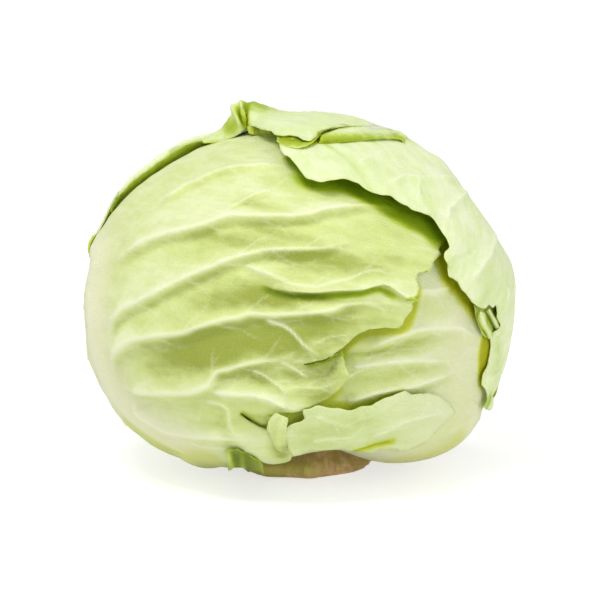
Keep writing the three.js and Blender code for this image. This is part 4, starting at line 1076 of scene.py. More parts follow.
    outline = np.concatenate([
        front(height_at, [
            (54.1, 94.6, 1), (54.6, 92.4, 2), (51.9, 89.3, 2), (51.5, 87.1, 2), (48.4, 84.9, 2.5),
            (45.3, 84.5, 2.5), (44, 82.3, 2.5), (44, 79.6, 2.5), (44.4, 77.9, 3), (43.1, 75.7, 3.5),
            (42.4, 73.9, 3.5), (42.7, 70.4, 2.5), (41.8, 67.3, 1.5), (39.6, 64.7, 1), (38.3, 61.6, 1),
            (36.5, 60.3, 1), (30.8, 60.3, 1.5), (24.2, 59.8, 2), (19.8, 58.1, 2), (15.4, 55, 2.5),
            (12.3, 51.8, 2.5), (9.2, 49.6, 2.4), (5, 47.4, 2.2), (0.5, 45.9, 2), (-4.8, 44.6, 1.5),
            (-5, 44.1, 0), (0.5, 45.1, 0), (5, 46.4, 0), (9, 48.4, 0.4), (11.2, 50.2, 1, 0.3),
            (12.2, 47.1, 2, 0.5), (13, 44, 2.5, 0.5), (13.8, 41.8, 3, 0.5), (15, 39.6, 4, 0.4),
            (13.2, 37.4, 3), (11, 33.9, 2), (6.6, 30.4, 1.5), (2.2, 27.7, 1), (-1.5, 25.7, 1),
            (-4.5, 24.4, 1), (-7.5, 23.6, 1), (-12, 23.2, 1), (-16, 22.4, 1), (-19.5, 20, 1),
            (-21.5, 18, 1), (-24, 18, 0.8), (-28.5, 20.3, 0.5), (-33, 23, 0), (-28.5, 19.2, 0),
            (-24, 16.6, 0.2), (-20.5, 15.4, 0.5), (-16, 16.5, 1), (-13.5, 15.5, 1), (-12.6, 13, 1),
            (-12, 10.6, 0.5), (-10.6, 7, 0.3), (-10, 4, 0.3), (-12.5, 1.4, 0.5), (-17.6, 0.4, 0.5),
            (-22, 0.9, 0.5), (-25, 2.2, 0.5), (-28.6, 4.2, 0.5), (-33, 6.2, 0.5), (-35.5, 6.4, 0.3),
            (-36.6, 4.4), (-36.8, 1.4), (-37.2, -1.2)]),
        base([
            (229, 45), (223, 41), (212, 33), (200, 28.5), (180, 28.5), (160, 30), (146, 40), (136, 54)]),
        hidden([
            (121, -40), (113, -22), (108, -4), (110, 14), (104, 30), (96, 44), (78, 56), (40, 62),
            (5, 64), (-8, 54), (-12, 42), (-13, 30)]),
    ])
    # painted shade: under the back leaf's edge, in the notches, under the lip and flap, along the tear, and
    # darker towards the foot
    shades = [
        (vein(*BACK_EDGE[7:16]), 90, 2.6, 0.7),
        (vein(*DEEP_SHADE), 90, 4.3, 1.0),
        (vein((48, 84.2), (44.9, 82.7), (44.2, 80.5)), 1.2, 1.2, 0.9),
        (vein((36.5, 72.6), (39.6, 74), (42.7, 73.4)), 0.6, 1.8, 0.6),
        (vein((-24, 79), (-13.2, 75), (0, 74.5), (8.8, 75), (19.8, 75.8), (27.7, 77.5), (35.2, 72.5)),
            0.8, 2.2, 0.8),
        (vein((-33, 23), (-28.5, 20.2), (-24, 17.8), (-20.5, 16.8)), 1.6, 0.9, 0.9),
        (vein((-21, 22.6), (-16, 22.9), (-11, 23.6)), 0.3, 0.9, 0.6),
        (vein((-4.5, 44), (1, 45.1), (5.5, 46.6), (9.6, 48.8), (12.3, 51)), 0.4, 1.5, 0.65),
        (vein((-84, 21), (-74, 13.5), (-64, 8.5), (-55, 5.5), (-46, 3.5), (-38, 2)), 8, 40, 0.17)]
    return dict(chart=chart, height_at=height_at, folds=folds, outline=outline, tone=tone, cream=cream,
                shades=shades, thickness=1.1, swell=0.35, blister=0.15, ripple=0.3, lift_reach=13.0,
                front_step=1.06, curls=[(FLAP, 0.8, 5), (SCRAP, 0.9, 5)])


def right_leaf():
    """The right leaf, seen low on the right between the others, with a broad pale base."""
    chart = Chart(-25, 0)
    height_at = swollen(1.5, (4.0, -12, -4, 0.3), (2.6, -40, -47, 0.24))
    vein, fold = pens(chart, height_at)
    midrib = chart.line(np.concatenate([
        base([(-26, 29), (-24, 44)]),
        hidden([(-22, -40), (-16, -20), (-12, 0), (-12, 18), (-18, 34)]),
    ]))
    folds = [
        Fold(midrib, 0.8, 13, 13, bead=0.8, line=9, pale=0.2, fade_in=0.01, fade_out=0.4, shade=0),
        fold(1.2, 6, 4, 0.7, 1, [(42, 75.5), (47, 76.5), (52, 77), (60, 78)]),
        fold(2.2, 8, 3.6, 0.9, 0.8, [(22, 52), (26.5, 53.5), (33, 56), (37.5, 57.5), (42.5, 59.5),
            (48.5, 60.5), (55, 60.5), (61.5, 60.5), (66, 58.5), (72, 55.5)], groove=0.3),
        fold(1.8, 5, 3.2, 0.9, 0.8, [(13, 42.5), (15.5, 43.5), (33, 46), (42, 46.5), (50.5, 46.5),
            (60, 46)]),
        fold(0.9, 3, 1.4, 0.6, 0.4, [(20.7, 47.1), (28.6, 49.3), (37.4, 51), (48.4, 51.5)]),
        fold(1.0, 4, 3, 0.6, 0.6, [(11, 37.5), (17.5, 41), (24, 43.5)]),
        fold(2.2, 8, 3.2, 0.9, 0.8, [(13, 28), (22, 31.5), (33, 34), (42, 35.5), (50.5, 38.5), (64, 43)]),
        fold(1.0, 6, 6, 0.6, 0.5, [(24, 20), (42, 23), (58, 28)]),
    ]
    folds += side_veins(midrib, -1, 5, 48, 22, height=0.7, above=5, below=5, pale=0.3, line=0.6)
    # tone spots: deeper green, partly painted shade; the one below zero at (51, 81) is painted light
    # between the two edges above it
    spots = soft_spots(chart, height_at, [
        (28, 49.5, 14, 2.6, 0.6), (40, 53, 14, 3, 0.45), (25, 37, 14, 3, 0.35), (42, 41, 18, 3, 0.4),
        (24, 56, 14, 3, 0.6), (52, 67, 12, 5, 0.22), (18, 32, 12, 4, 0.4), (32, 29, 12, 3, 0.4),
        (50, 82, 10, 4, 0.2), (50, 53, 10, 3, 0.25), (-18, 10, 9, 12, 0.7), (12, 47, 6, 6, 0.5),
        (51, 81, 7, 6, -0.8), (42, 4, 20, 8, 0.25)])

    def tone(flat):
        # the painted shade also deepens the green
        return spots(flat) + 0.9 * shade_field(flat, shades)

    def cream(flat, directions):
        low = smooth(0.38, 0.66, -directions[:, 2]) * smooth(0.0, 0.4, directions[:, 0])
        return np.maximum(low, 0.55 * smooth(0.62, 0.9, directions[:, 0]))

    outline = np.concatenate([
        base([
            (-128, 34), (-104, 29), (-80, 28.5), (-50, 28.5), (-20, 28.5), (10, 28.5), (34, 31), (46, 42)]),
        hidden([
            (50, -46), (57, -34), (64, -14), (66, 6), (58, 24), (40, 38), (12, 47), (-18, 50), (-46, 46),
            (-68, 34), (-82, 20), (-92, 4), (-100, -14), (-104, -34), (-100, -52)]),
    ])
    # painted shade: along the back leaf's edge and torn strip, under the left and lower leaves' edges, and
    # darker towards the foot
    shades = [
        (chart.line(front(height_at, BACK_EDGE[26:] + [(80, 67)])), 90, 5.2, 0.75),
        (vein((76, 62), (74.6, 57.2), (73.6, 52.8), (73, 48.4), (72.8, 44), (72.6, 39.6), (72.4, 34)), 90,
            2.5, 0.9),
        (vein((44, 82), (44, 76), (42, 67.3), (38.3, 60.8), (30.8, 59.3), (24.2, 58.8), (19.8, 57.1),
            (15.4, 54), (12.3, 50.5), (11.4, 45)), 2.0, 60, 0.45),
        (vein((-24, 4), (-19, 14), (-12, 20.5), (-6, 22.5), (2, 24)), 6, 6, 0.25),
        (vein((12, 36), (6.6, 30), (2.2, 27.7), (15.4, 25), (24.2, 26.5), (31, 29.5), (39, 33)), 2.8, 2.5,
            0.35),
        (vein((24, 2), (36, 2.2), (48, 4.4), (58, 9), (66, 17)), 5, 40, 0.09)]
    return dict(chart=chart, height_at=height_at, folds=folds, outline=outline, tone=tone, cream=cream,
                shades=shades, thickness=1.1, swell=0.15, blister=0.08, ripple=0.0, lift_reach=10.0)


def back_leaf():
    """The outermost leaf, which grows up the back and folds over the top and the right side."""
    chart = Chart(62, 30)
    waves = swollen(8.2, (2.2, 2, 2, 0.5), (2.8, 70, 80, 0.45), (-1.6, 168, 52, 0.35), (3.2, 19, 57, 0.2),
                    (1.8, 8, 44, 0.11), (-2.6, 6, 28, 0.2), (1.5, 0, 11, 0.12), (-1.6, -3, -18, 0.13))

    def height_at(d):
        return waves(d) - 3.6 * smooth(0.5, 0.85, -d[:, 2])

    vein, fold = pens(chart, height_at)
    midrib = chart.line(np.concatenate([
        base([(88, 29), (88, 42)]),
        hidden([(88, -40), (92, -18), (96, 4), (98, 26), (100, 48), (110, 70)]),
    ]))
    folds = [
        Fold(midrib, 1.4, 9, 9, bead=1.6, line=6, pale=0.8, fade_in=0.01, fade_out=0.6, shade=0),
        fold(0.8, 5, 4, 0.7, 0.9, [(18, 131), (24, 135), (28.5, 137), (35, 138.5)], shade=0.4),
        fold(0.9, 5, 3.0, 0.75, 0.95, [(30.5, 121), (32, 123), (35, 124.5), (38.5, 126.5), (46, 126),
            (53.5, 126.5), (64, 122)], shade=0.5),
        fold(0.5, 4, 4, 0.7, 0.85, [(45.5, 125.5), (44.5, 121), (43.5, 114.5)], shade=0.4),
        fold(0.9, 5, 3, 0.8, 0.95, [(56.5, 107), (58, 112), (60.5, 114.5), (66, 120)], shade=0.5),
        fold(1.2, 6, 4, 0.8, 0.95, [(67, 80), (68, 82.5), (72.5, 89), (75, 92.5), (77, 97.5), (80, 104)],
            shade=0.5),
        fold(0.8, 4, 3, 0.8, 0.9, [(83, 79), (82.5, 72.5), (82.5, 67.5)]),
        fold(0.9, 4, 3, 0.8, 0.9, [(82, 66), (80.5, 58), (79.5, 50), (78, 42), (76.5, 34)]),
    ]
    folds += side_veins(midrib, -1, 7, 82, 44, height=1.6, above=9, below=6, pale=0.8, line=0.8)
    folds += side_veins(midrib, 1, 7, 72, 40, height=1.8, above=6, below=9, pale=0.8, line=0.8)
    # tone spots: deeper green, partly painted shade in the creases under the top folds
    tone = soft_spots(chart, height_at, [
        (30, 128, 12, 4, 0.15), (48, 118, 12, 5, 0.2), (4, 140.5, 18, 1.5, 0.5), (66, 98, 8, 8, 0.1),
        (76, 82, 6, 8, 0.05), (20, 125, 14, 3, 0.2), (-36, 150, 3, 4, 0.7), (20, 145, 12, 1.6, 0.7),
        (40, 143, 4, 3, 0.5), (-5, 141.8, 8, 1, 0.6), (58, 88, 3, 8, 0.25), (72, 72, 8, 4, 0.3),
        (76.8, 27, 3, 5, 1.3), (81.5, 50, 4, 13, 0.4)])

    def cream(flat, directions):
        distance, _, at = nearest_on_path(flat, midrib)
        share = at / (len(midrib) - 1)
        return np.exp(-(distance / (20 - 8 * share)) ** 2) * (1 - smooth(0.3, 0.85, share))

    curls = [(tucked(CROWN), 1.1, 5), (LIP_LINING, 0.8, 4), (LIP, 0.9, 5), (ROLL, 1.0, 5),
             (rolled_rim(), 0.8, 4), (RIM_TAB, 0.6, 4), (CAVITY, 0.6, 4), (RIBBON_NEAR, 0.7, 4),
             (RIBBON_FAR, 0.7, 4)]
    # painted shade under the knot's lip and under the rolled pleat
    shades = [
        (vein((-18, 142.5), (-11, 139.6), (-7.9, 139.3), (-4.4, 140), (-1.3, 141.7), (2.2, 141.3)), 5,
            3.0, 0.85),
        (vein((1, 141.4), (7.5, 141.5), (13.2, 142), (19.8, 142.4), (25.5, 143), (30.8, 143.8),
            (38.7, 145.2)), 5, 1.6, 0.45)]
    corners = [(-17.3, 146.3, 0.5), (-16.4, 143.5, 1), (-15.8, 140.5, 1.5)]
    corners += [(u, v, 2) for u, v in BACK_EDGE[6:14]]
    corners += [(u, v, 2.5, 0.3) for u, v in BACK_EDGE[14:26]]
    corners += [(u, v, 1.5, 0.1) for u, v in BACK_EDGE[26:34]] + [(u, v, 0.5) for u, v in BACK_EDGE[34:]]
    leftmost = np.concatenate([
        rim(height_at, [
            (-97, 92, 14), (-95, 97.5, 14), (-91, 106.5, 14), (-85.5, 115, 14), (-80, 121, 14),
            (-72.6, 127, 13), (-67, 131, 12), (-58.5, 137, 12), (-52, 140.5, 11), (-47, 143, 10),
            (-40, 144, 8), (-34, 145.5, 8), (-29, 147, 8), (-22.5, 148, 7)]),
    ])
    outline = np.concatenate([
        front(height_at, corners, ragged=0.2),
        front(height_at, [
            (79.2, 70.4, 0.5), (80.1, 67.3, 0.5), (80.1, 64.7), (81.4, 61.2), (77.4, 57.2, -1.5),
            (77, 52.8, -2.5), (76.6, 48.4, -2.5), (75.7, 44, -2.5), (73.9, 39.6, -2), (73.5, 35.2, -2),
            (75.2, 33, -1), (75.7, 28.6, -1), (74.4, 25.1, -1), (76.9, 24.2, -1), (78.4, 26.4, -1),
            (78.2, 30.5, -1), (79.6, 33, -0.5)]),
        rim(height_at, [(80.2, 36, 8)]),
        hidden([(12, -26, 1), (20, -31, 1), (32, -40, 1), (44, -50, 0.5)]),
        base([(54, 42), (62, 31), (80, 28.5), (104, 28.5), (120, 32), (128, 44)]),
        hidden([(124, -50, 0), (132, -38, 0.5), (140, -24, 1), (146, -10, 0.5), (152, 4, 0)]),
        leftmost,
    ])
    return dict(chart=chart, height_at=height_at, folds=folds, outline=outline, tone=tone, cream=cream,
                shades=shades, thickness=1.2, swell=0.6, blister=0.2, ripple=0.35, lift_reach=14.0,
                curls=curls)


def lower_leaf():
    """What is left of a torn outer leaf, low on the right above the stump."""
    chart = Chart(-75, -40)

    def height_at(d):
        return 5.2 - 0.4 * smooth(0.2, 0.6, d[:, 0])

    vein, fold = pens(chart, height_at)
    folds = [
        fold(1.2, 7, 3.4, 0.7, 0.8, [(24, 12.5), (28.5, 15), (33, 16.5), (37.5, 19.5), (46, 22),
            (55, 24.5), (59.5, 25)]),
        fold(0.8, 6, 4, 0.6, 0.7, [(-2, 11), (6.5, 12.5), (20, 13)]),
        fold(0.4, 4, 4, 0.5, 0.5, [(0, 22), (8, 19), (18, 17)]),
    ]
    tone = soft_spots(chart, height_at, [
        (5, 16, 12, 5, 0.3), (20, 20, 12, 4, 0.25), (45, 27, 10, 3, 0.15), (30, 10, 10, 3, 0.3),
        (-5, 10, 8, 5, 0.3)])

    def cream(flat, directions):
        return smooth(0.35, 0.75, directions[:, 0]) * 0.6

    outline = np.concatenate([
        front(height_at, [
            (-4.5, 20.5, 0.8), (-5.5, 24, 1), (-1.5, 25, 1), (2, 26.5, 1), (5.5, 25.5, 1), (11, 25, 1.2),
            (15.5, 24, 1.2), (20, 25.5, 1.2), (25, 26.5, 1.2), (27.5, 28, 1.2), (31, 29.5, 1),
            (35, 31, 1), (39.5, 32.5, 0.8), (42.5, 31, 0.5), (46, 31.5, 0.4), (50.5, 31.5, 0.2),
            (55, 30, 0.1), (58.5, 27.5, 0.1), (61, 25, 0.1), (61.5, 23, 0.1), (58.5, 20), (55, 16.5),
            (52, 13.5), (50.5, 11), (47, 9.2), (44, 7.6), (41, 6.4), (37.4, 6), (33.9, 7), (28.6, 6.6),
            (25, 4.8), (19.8, 5.7, 0.4), (15.4, 6.2, 0.4), (11, 7, 0.6), (2.2, 6.2, 0.8), (-2, 6.6, 0.8),
            (-5.5, 4.6, 0.8), (-9.5, 4, 0.8), (-10.8, 5.7, 0.8), (-12, 8, 1), (-13, 12, 1),
            (-13, 15.5, 1), (-11, 17.5, 1), (-6.5, 19, 1)]),
    ])
    # painted shade in the torn slit
    shades = [
        (vein((15, 6), (19.8, 7.4), (24.2, 8.6), (28.6, 9.8), (34.5, 10.8)), 0.6, 1.0, 1),
        (vein((17, 6), (22, 7.4), (28, 9.2), (36, 11.2)), 1.5, 1.8, 0.35)]
    return dict(chart=chart, height_at=height_at, folds=folds, outline=outline, tone=tone, cream=cream,
                shades=shades, thickness=1.1, swell=0.3, blister=0.15, ripple=0.2, lift_reach=8.0)


# ---------------------------------------------------------------- heart and stump

def ring_bands(rings):
    """Triangles that join each ring of points to the next one above it, all facing outwards."""
    low, high = rings[:-1], rings[1:]
    low_next, high_next = np.roll(low, -1, axis=1), np.roll(high, -1, axis=1)
    return np.concatenate([np.stack([low, low_next, high_next], -1).reshape(-1, 3),
                           np.stack([low, high_next, high], -1).reshape(-1, 3)])


def heart_ball():
    """The dense inner head, closely ribbed like the folded leaves that it is made of."""
    rows, columns = 150, 260
    ribs, rib_depth, twist, inset = 9, 1.1, 0.9, 0.3
    latitude = np.linspace(-90, 90, rows + 1)[1:-1]
    longitude = np.arange(columns) * 360 / columns
    grid_longitude, grid_latitude = np.meshgrid(longitude, latitude)
    directions = direction_at(grid_longitude.ravel(), grid_latitude.ravel())
    directions = np.concatenate([directions, [[0, 0, -1.0], [0, 0, 1.0]]])
    turn = np.arctan2(directions[:, 1], directions[:, 0]) + twist * directions[:, 2]
    level = np.hypot(directions[:, 0], directions[:, 1])
    groove = rib_depth * (np.abs(np.sin(ribs / 2 * turn)) ** 0.6 - 1) * level
    points = place(directions, groove - inset)
    rings = np.arange(columns * (rows - 1)).reshape(rows - 1, columns)
    bottom, top = np.full(columns, rings.size), np.full(columns, rings.size + 1)
    triangles = np.concatenate([ring_bands(rings),
                                np.stack([np.roll(rings[0], -1), rings[0], bottom], -1),
                                np.stack([rings[-1], np.roll(rings[-1], -1), top], -1)])
    zero = np.zeros(len(points))
    values = {"pale": zero, "near": zero + 6, "edge": zero + 20, "tone": zero, "cream": zero + 0.4,
              "under": zero, "high": zero, "inside": zero}
    flat = np.column_stack([turn, np.arcsin(directions[:, 2])]) * 80
    return make_mesh("inner_head", points, triangles, values, flat)


# the stump's wall from the middle of its cut face up: height, radius and how far its stubs reach there
STUMP_PROFILE = [
    (0, 0, 0), (0, 6, 0), (0, 12, 0), (0, 18, 0), (0, 22.6, 0), (0.25, 23.2, 0.45), (0.6, 23.7, 0.6),
    (1.1, 24.2, 0.68), (1.8, 24.7, 0.75), (2.6, 25.2, 0.81), (3.4, 25.5, 0.87), (4.2, 25.5, 0.93),
    (5, 25.3, 0.97), (5.8, 24.9, 1), (6.8, 24.3, 0.97), (7.8, 23.5, 0.8), (9, 22.8, 0.5), (10.5, 22, 0.2),
    (12, 21.4, 0), (13.2, 21, 0), (STUMP_TOP, 20, 0), (STUMP_TOP, 10, 0), (STUMP_TOP, 0, 0)]


def stump_scars(turn, z):
    """The leaf scars round the stump's side, as heights in millimetres."""
    scars = 0.6 * np.sin(19 * turn + 1.5 * z) * np.sin(1.1 * z + 3 * np.sin(2 * turn))
    scars += 0.25 * np.sin(47 * turn)
    return scars + 0.5 * np.sin(9 * turn + 2 * np.sin(5 * turn) - 0.4 * z)


def stump_solid():
    """The cut stem: a flat fibrous face below, scars round its side and stubs of cut leaf stalks."""
    sides = 300
    stub_length = 15
    profile = np.array(STUMP_PROFILE)
    turn = 2 * np.pi * np.arange(sides) / sides
    lobe = np.maximum(0, np.cos(turn - 3.95)) ** 14 + 0.4 * np.maximum(0, np.cos(turn - 4.6)) ** 30
    uneven = 0.8 * np.sin(3 * turn + 1) + 0.5 * np.sin(7 * turn)
    points = []
    for z, radius, stub in profile:
        wall = smooth(0, 1.5, z) * (1 - smooth(12, 13.4, z))
        share = min(1, radius / 22)
        reach = radius + share * uneven * (0.4 + 0.6 * wall) + wall * stump_scars(turn, z)
        reach += stub_length * stub * lobe
        points.append(np.column_stack([reach * np.cos(turn), reach * np.sin(turn), np.full(sides, z)]))
    points = np.concatenate(points)
    triangles = ring_bands(np.arange(len(points)).reshape(-1, sides))
    a, b, c = (points[triangles[:, k]] for k in range(3))
    triangles = triangles[np.linalg.norm(np.cross(b - a, c - a), axis=1) > 1e-6]
    values = {"stub": np.outer(profile[:, 2], lobe).ravel(), "rise": points[:, 2]}
    flat = np.column_stack([np.tile(turn, len(profile)) * 25, points[:, 2]])
    return make_mesh("stump_cut", points, triangles, values, flat)


# ---------------------------------------------------------------- materials

class Nodes:
    """A short way to write a material's node graph."""

    def __init__(self, name):
        self.material = bpy.data.materials.new(name)
        self.material.use_nodes = True
        self.tree = self.material.node_tree
        self.tree.nodes.clear()
        self.output = self.tree.nodes.new("ShaderNodeOutputMaterial")

    def add(self, kind, inputs=None, **settings):
        node = self.tree.nodes.new(kind)
        for key, value in settings.items():
            setattr(node, key, value)
        for key, value in (inputs or {}).items():
            self.link(value, node.inputs[key])
        return node

    def link(self, value, socket):
        if isinstance(value, bpy.types.NodeSocket):
            self.tree.links.new(value, socket)
        else:
            socket.default_value = value

    def spot(self):
        return self.add("ShaderNodeTexCoord").outputs["Object"]

    def chart(self):
        return self.add("ShaderNodeUVMap", uv_map="chart").outputs[0]

    def value(self, name):
        return self.add("ShaderNodeAttribute", attribute_name=name).outputs["Fac"]

    def math(self, operation, a, b=0.0, clamp=False):
        return self.add("ShaderNodeMath", {0: a, 1: b}, operation=operation, use_clamp=clamp).outputs[0]

    def times(self, a, b):
        return self.math("MULTIPLY", a, b)

    def plus(self, total, *others):
        for other in others:
            total = self.math("ADD", total, other)
        return total

    def vector(self, operation, inputs):
        return self.add("ShaderNodeVectorMath", inputs, operation=operation).outputs[0]

    def stretched(self, scale):
        return self.add("ShaderNodeMapping", {"Vector": self.chart(), "Scale": scale}).outputs[0]

    def span(self, value, low, high, to_low=0.0, to_high=1.0):
        inputs = {"Value": value, "From Min": low, "From Max": high, "To Min": to_low, "To Max": to_high}
        node = self.add("ShaderNodeMapRange", inputs, clamp=True, interpolation_type="SMOOTHSTEP")
        return node.outputs[0]

    def mix(self, share, a, b, blend="MIX"):
        node = self.add("ShaderNodeMix", data_type="RGBA", blend_type=blend, clamp_factor=True)
        for value, socket in ((share, node.inputs[0]), (a, node.inputs[6]), (b, node.inputs[7])):
            self.link(value, socket)
        return node.outputs[2]

    def noise(self, vector, scale, detail=3.0, roughness=0.55, output="Fac"):
        inputs = {"Vector": vector, "Scale": scale, "Detail": detail, "Roughness": roughness}
        return self.add("ShaderNodeTexNoise", inputs).outputs[output]

    def bump(self, height, strength, distance):
        inputs = {"Strength": strength, "Distance": distance, "Height": height}
        return self.add("ShaderNodeBump", inputs).outputs[0]

    def finish(self, inputs):
        shader = self.add("ShaderNodeBsdfPrincipled", inputs)
        self.link(shader.outputs[0], self.output.inputs["Surface"])
        return self.material


def colour(text):
    """A linear colour from six hex digits."""
    parts = [int(text[i:i + 2], 16) / 255 for i in (0, 2, 4)]
    linear = [p / 12.92 if p <= 0.04045 else ((p + 0.055) / 1.055) ** 2.4 for p in parts]
    return (*linear, 1.0)


# painted shade tints: what a colour keeps of red, green and blue at full painted shade; left leaf, then the
# rest
PAINTED_SHADE_DEEP = (0.32, 0.42, 0.012)
PAINTED_SHADE_LIGHT = (0.6, 0.58, 0.003)


def leaf_net(n):
    """The fine net of the smallest veins, faded out where a larger vein is near."""
    warp = n.noise(n.spot(), 60.0, 2.0, 0.5, "Color")
    warp = n.vector("SCALE", {0: n.vector("SUBTRACT", {0: warp, 1: (0.5, 0.5, 0.5)}), 3: 0.06})
    inputs = {"Vector": n.vector("ADD", {0: n.chart(), 1: warp}), "Scale": 48.0}
    cells = n.add("ShaderNodeTexVoronoi", inputs, feature="DISTANCE_TO_EDGE", voronoi_dimensions="2D")
    line = n.span(cells.outputs["Distance"], 0.0, 0.16, 1.0, 0.0)
    return n.times(line, n.span(n.value("near"), 0.5, 4.0))


def leaf_material(name, colours, net=0.07, between=PAINTED_SHADE_LIGHT):
    """A leaf: green between pale veins, cream towards its base, with a fine net, painted shade and a waxy
    skin.
    """
    light, mid, deep, rib, cream, inner = (colour(text) for text in colours)
    n = Nodes(name)
    net_mask = leaf_net(n)
    broad = n.noise(n.spot(), 22.0, 4.0)
    mottle = n.noise(n.spot(), 160.0, 4.0, 0.65)
    pores = n.noise(n.spot(), 900.0, 2.0)
    streak = n.noise(n.stretched((6.0, 19.0, 1.0)), 1.0, 3.0, 0.6)

    green = n.plus(n.value("tone"), n.span(n.value("near"), 0.0, 8.5, 0.0, 0.28),
                   n.span(broad, 0.3, 0.7, -0.10, 0.10), n.span(mottle, 0.3, 0.7, -0.05, 0.05),
                   n.span(streak, 0.3, 0.7, -0.09, 0.09))
    # raised relief a little lighter and low relief greener: painted light and shade
    green = n.math("SUBTRACT", green, n.times(n.value("high"), 0.03))
    skin = n.mix(n.span(green, 0.0, 0.55), light, mid)
    for share, tint in ((n.span(green, 0.45, 1.15), deep),
                        (n.times(net_mask, net), rib),
                        (n.times(n.value("cream"), 0.92), cream),
                        (n.times(n.value("pale"), 0.72), rib),
                        # a darker green band along each cut edge: painted shade of the edge turning down
                        (n.span(n.value("edge"), 0.0, 2.0, 0.3, 0.0), mid),
                        # the inner face: a bright saturated green, partly its own and partly painted glow
                        # of light let through the leaf
                        (n.times(n.value("inside"), 0.85), inner)):
        skin = n.mix(share, skin, tint)
    # painted shade: the colour is multiplied by each tint raised to the power of the under value
    between = [n.math("POWER", share, n.value("under")) for share in between]
    between = n.add("ShaderNodeCombineColor", dict(zip(("Red", "Green", "Blue"), between))).outputs[0]
    height = n.plus(n.times(net_mask, 0.4), n.times(mottle, 0.5), n.times(pores, 0.12),
                    n.times(streak, 0.9))
    return n.finish({
        "Base Color": n.mix(1.0, skin, between, "MULTIPLY"),
        "Roughness": n.span(mottle, 0.3, 0.7, 0.42, 0.58),
        "Normal": n.bump(height, 0.45, 0.0007), "Specular IOR Level": 0.3,
        "Subsurface Weight": 0.4, "Subsurface Radius": (1.0, 0.95, 0.3), "Subsurface Scale": 0.0012})


def stump_material():
    """The cut stem: pale fibres with brown blotches, greenish where leaf stalks were cut."""
    n = Nodes("stump_skin")
    fibre = n.noise(n.stretched((1.0, 0.22, 1.0)), 90.0, 5.0, 0.7)
    blotch = n.noise(n.spot(), 90.0, 5.0, 0.65)
    patch = n.noise(n.spot(), 45.0, 3.0)
    stubs = n.span(n.value("stub"), 0.05, 0.6, 0.0, 0.75)
    greenish = n.math("ADD", stubs, n.span(patch, 0.5, 0.7, 0.0, 0.5), clamp=True)
    skin = n.mix(n.span(blotch, 0.35, 0.65), colour("F0CE9C"), colour("C9A468"))
    for share, tint in ((n.span(fibre, 0.5, 0.75), "B58E5A"),
                        (greenish, "B9B44A"),
                        (n.span(blotch, 0.6, 0.8, 0.0, 0.6), "8E7638")):
        skin = n.mix(share, skin, colour(tint))
    height = n.plus(fibre, n.times(blotch, 0.5))
    return n.finish({
        "Base Color": skin, "Roughness": n.span(blotch, 0.3, 0.7, 0.6, 0.85),
        "Normal": n.bump(height, 0.7, 0.001), "Specular IOR Level": 0.3,
        "Subsurface Weight": 0.1, "Subsurface Radius": (1.0, 0.6, 0.3), "Subsurface Scale": 0.002})


# ---------------------------------------------------------------- assembly

# light, middle and deep green, then the ribs, the cream base and the inside, brightened as painted glow
LEAF_COLOURS = {
    "leaf_left": ("EDF5C2", "D6E291", "A0AC44", "F7F9D8", "EDEDC6", "C4DA50"),
    "leaf_right": ("E6EDBC", "D2DD90", "AEBB50", "F1F1D6", "E9E7C4", "B5CC44"),
    "leaf_lower": ("E6EFBC", "D0DE94", "A9B958", "F0F3D2", "E6E8C4", "B5CC44"),
    "leaf_back": ("F3FAD2", "DCEBA6", "A9C146", "F0F7D4", "EFF1D4", "C8DE50"),
    "heart": ("E6EBC0", "D6E2A8", "A9BC62", "F0F2D4", "E9EBCB", "B5CC44"),
}


def dress():
    """Makes all six pieces, each over the node that it stands in for."""
    leaves = {"leaf_left": left_leaf, "leaf_right": right_leaf, "leaf_lower": lower_leaf,
              "leaf_back": back_leaf}
    for offset, (node, describe) in enumerate(leaves.items()):
        # the left leaf takes the deeper painted shade tint
        looks = {"net": 0.04, "between": PAINTED_SHADE_DEEP} if node == "leaf_left" else {}
        material = leaf_material(node + "_skin", LEAF_COLOURS[node], **looks)
        finish_piece(leaf_sheet(node + "_sheet", describe(), SEED + offset), node, material)
    finish_piece(heart_ball(), "heart", leaf_material("heart_skin", LEAF_COLOURS["heart"]))
    finish_piece(stump_solid(), "stump", stump_material())


def finish_piece(piece, node, material):
    piece.data.materials.append(material)
    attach(piece, "root")
    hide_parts(node)


# ---------------------------------------------------------------- camera, floor and light

def aim(obj, spot, target):
    obj.location = Vector(spot)
    obj.rotation_euler = (Vector(target) - Vector(spot)).to_track_quat("-Z", "Y").to_euler()


def set_camera():
    """The photo's view: 12 degrees above level and from far away."""
    camera = bpy.data.objects.new("camera", bpy.data.cameras.new("camera"))
    camera.data.sensor_width = 36.0
    camera.data.lens = 36.0 * VIEW_DISTANCE / VIEW_WIDTH
    camera.data.clip_end = 20.0
    bpy.context.scene.collection.objects.link(camera)
    aim(camera, VIEW_EYE * MM, VIEW_TARGET * MM)
    bpy.context.scene.camera = camera


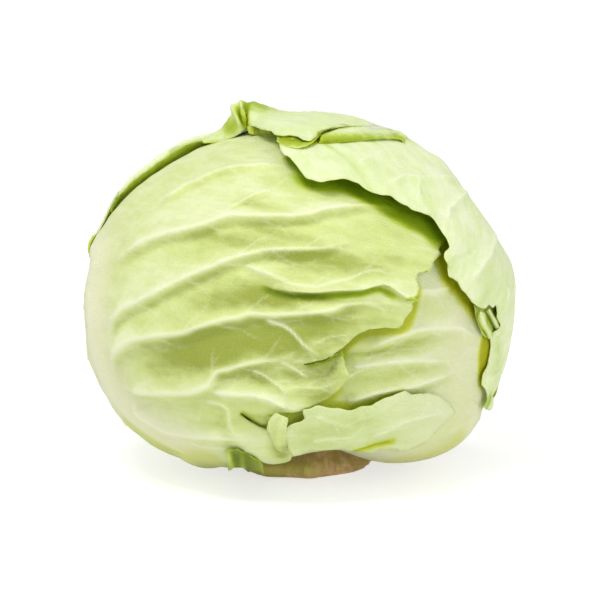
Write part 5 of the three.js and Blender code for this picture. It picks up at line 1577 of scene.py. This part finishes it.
def set_floor():
    """The floor that is seen, and one just below it that isn't seen and only throws light back."""
    half = 6.0
    for name, level, albedo, glow in (("floor", 0.0, 0.55, 0.65), ("floor_bounce", -0.0004, 0.8, 0.1)):
        mesh = bpy.data.meshes.new(name)
        corners = [(-half, -half, level), (half, -half, level), (half, half, level), (-half, half, level)]
        mesh.from_pydata(corners, [], [(0, 1, 2, 3)])
        floor = bpy.data.objects.new(name, mesh)
        bpy.context.scene.collection.objects.link(floor)
        mesh.materials.append(Nodes(name + "_white").finish({
            "Base Color": (albedo, albedo, albedo, 1), "Roughness": 0.7, "Specular IOR Level": 0.1,
            "Emission Color": (1, 1, 1, 1), "Emission Strength": glow}))
        seen = name == "floor"
        floor.visible_camera = seen
        floor.visible_diffuse = not seen
        floor.visible_glossy = not seen
        floor.visible_transmission = not seen
        floor.visible_shadow = not seen


def add_area(name, spot, size, power, tint=(1, 1, 1)):
    """A round lamp at this spot in metres, aimed at the middle of the head."""
    light = bpy.data.lights.new(name, "AREA")
    light.shape = "DISK"
    light.size = size
    light.energy = power
    light.color = tint
    lamp = bpy.data.objects.new(name, light)
    bpy.context.scene.collection.objects.link(lamp)
    aim(lamp, spot, (0, 0, 0.08))


def set_light():
    """Even studio light from all round, with a soft key from the upper left and a weak fill."""
    world = bpy.data.worlds.new("studio")
    bpy.context.scene.world = world
    world.use_nodes = True
    tree = world.node_tree
    sky = tree.nodes["Background"]
    sky.inputs["Color"].default_value = (0.97, 0.98, 1.0, 1)
    sky.inputs["Strength"].default_value = 0.62
    backdrop = tree.nodes.new("ShaderNodeBackground")
    backdrop.inputs["Strength"].default_value = 1.2
    ray = tree.nodes.new("ShaderNodeLightPath")
    mix = tree.nodes.new("ShaderNodeMixShader")
    tree.links.new(ray.outputs["Is Camera Ray"], mix.inputs[0])
    tree.links.new(sky.outputs[0], mix.inputs[1])
    tree.links.new(backdrop.outputs[0], mix.inputs[2])
    tree.links.new(mix.outputs[0], tree.nodes["World Output"].inputs["Surface"])
    add_area("key", (-0.42, -0.5, 1.42), 0.6, 10, (1.0, 0.99, 0.96))
    add_area("fill", (0.9, -1.0, 0.45), 0.9, 4.5)
    scene = bpy.context.scene
    scene.view_settings.view_transform = "Standard"
    scene.view_settings.look = "None"


set_camera()
set_floor()
set_light()
dress()
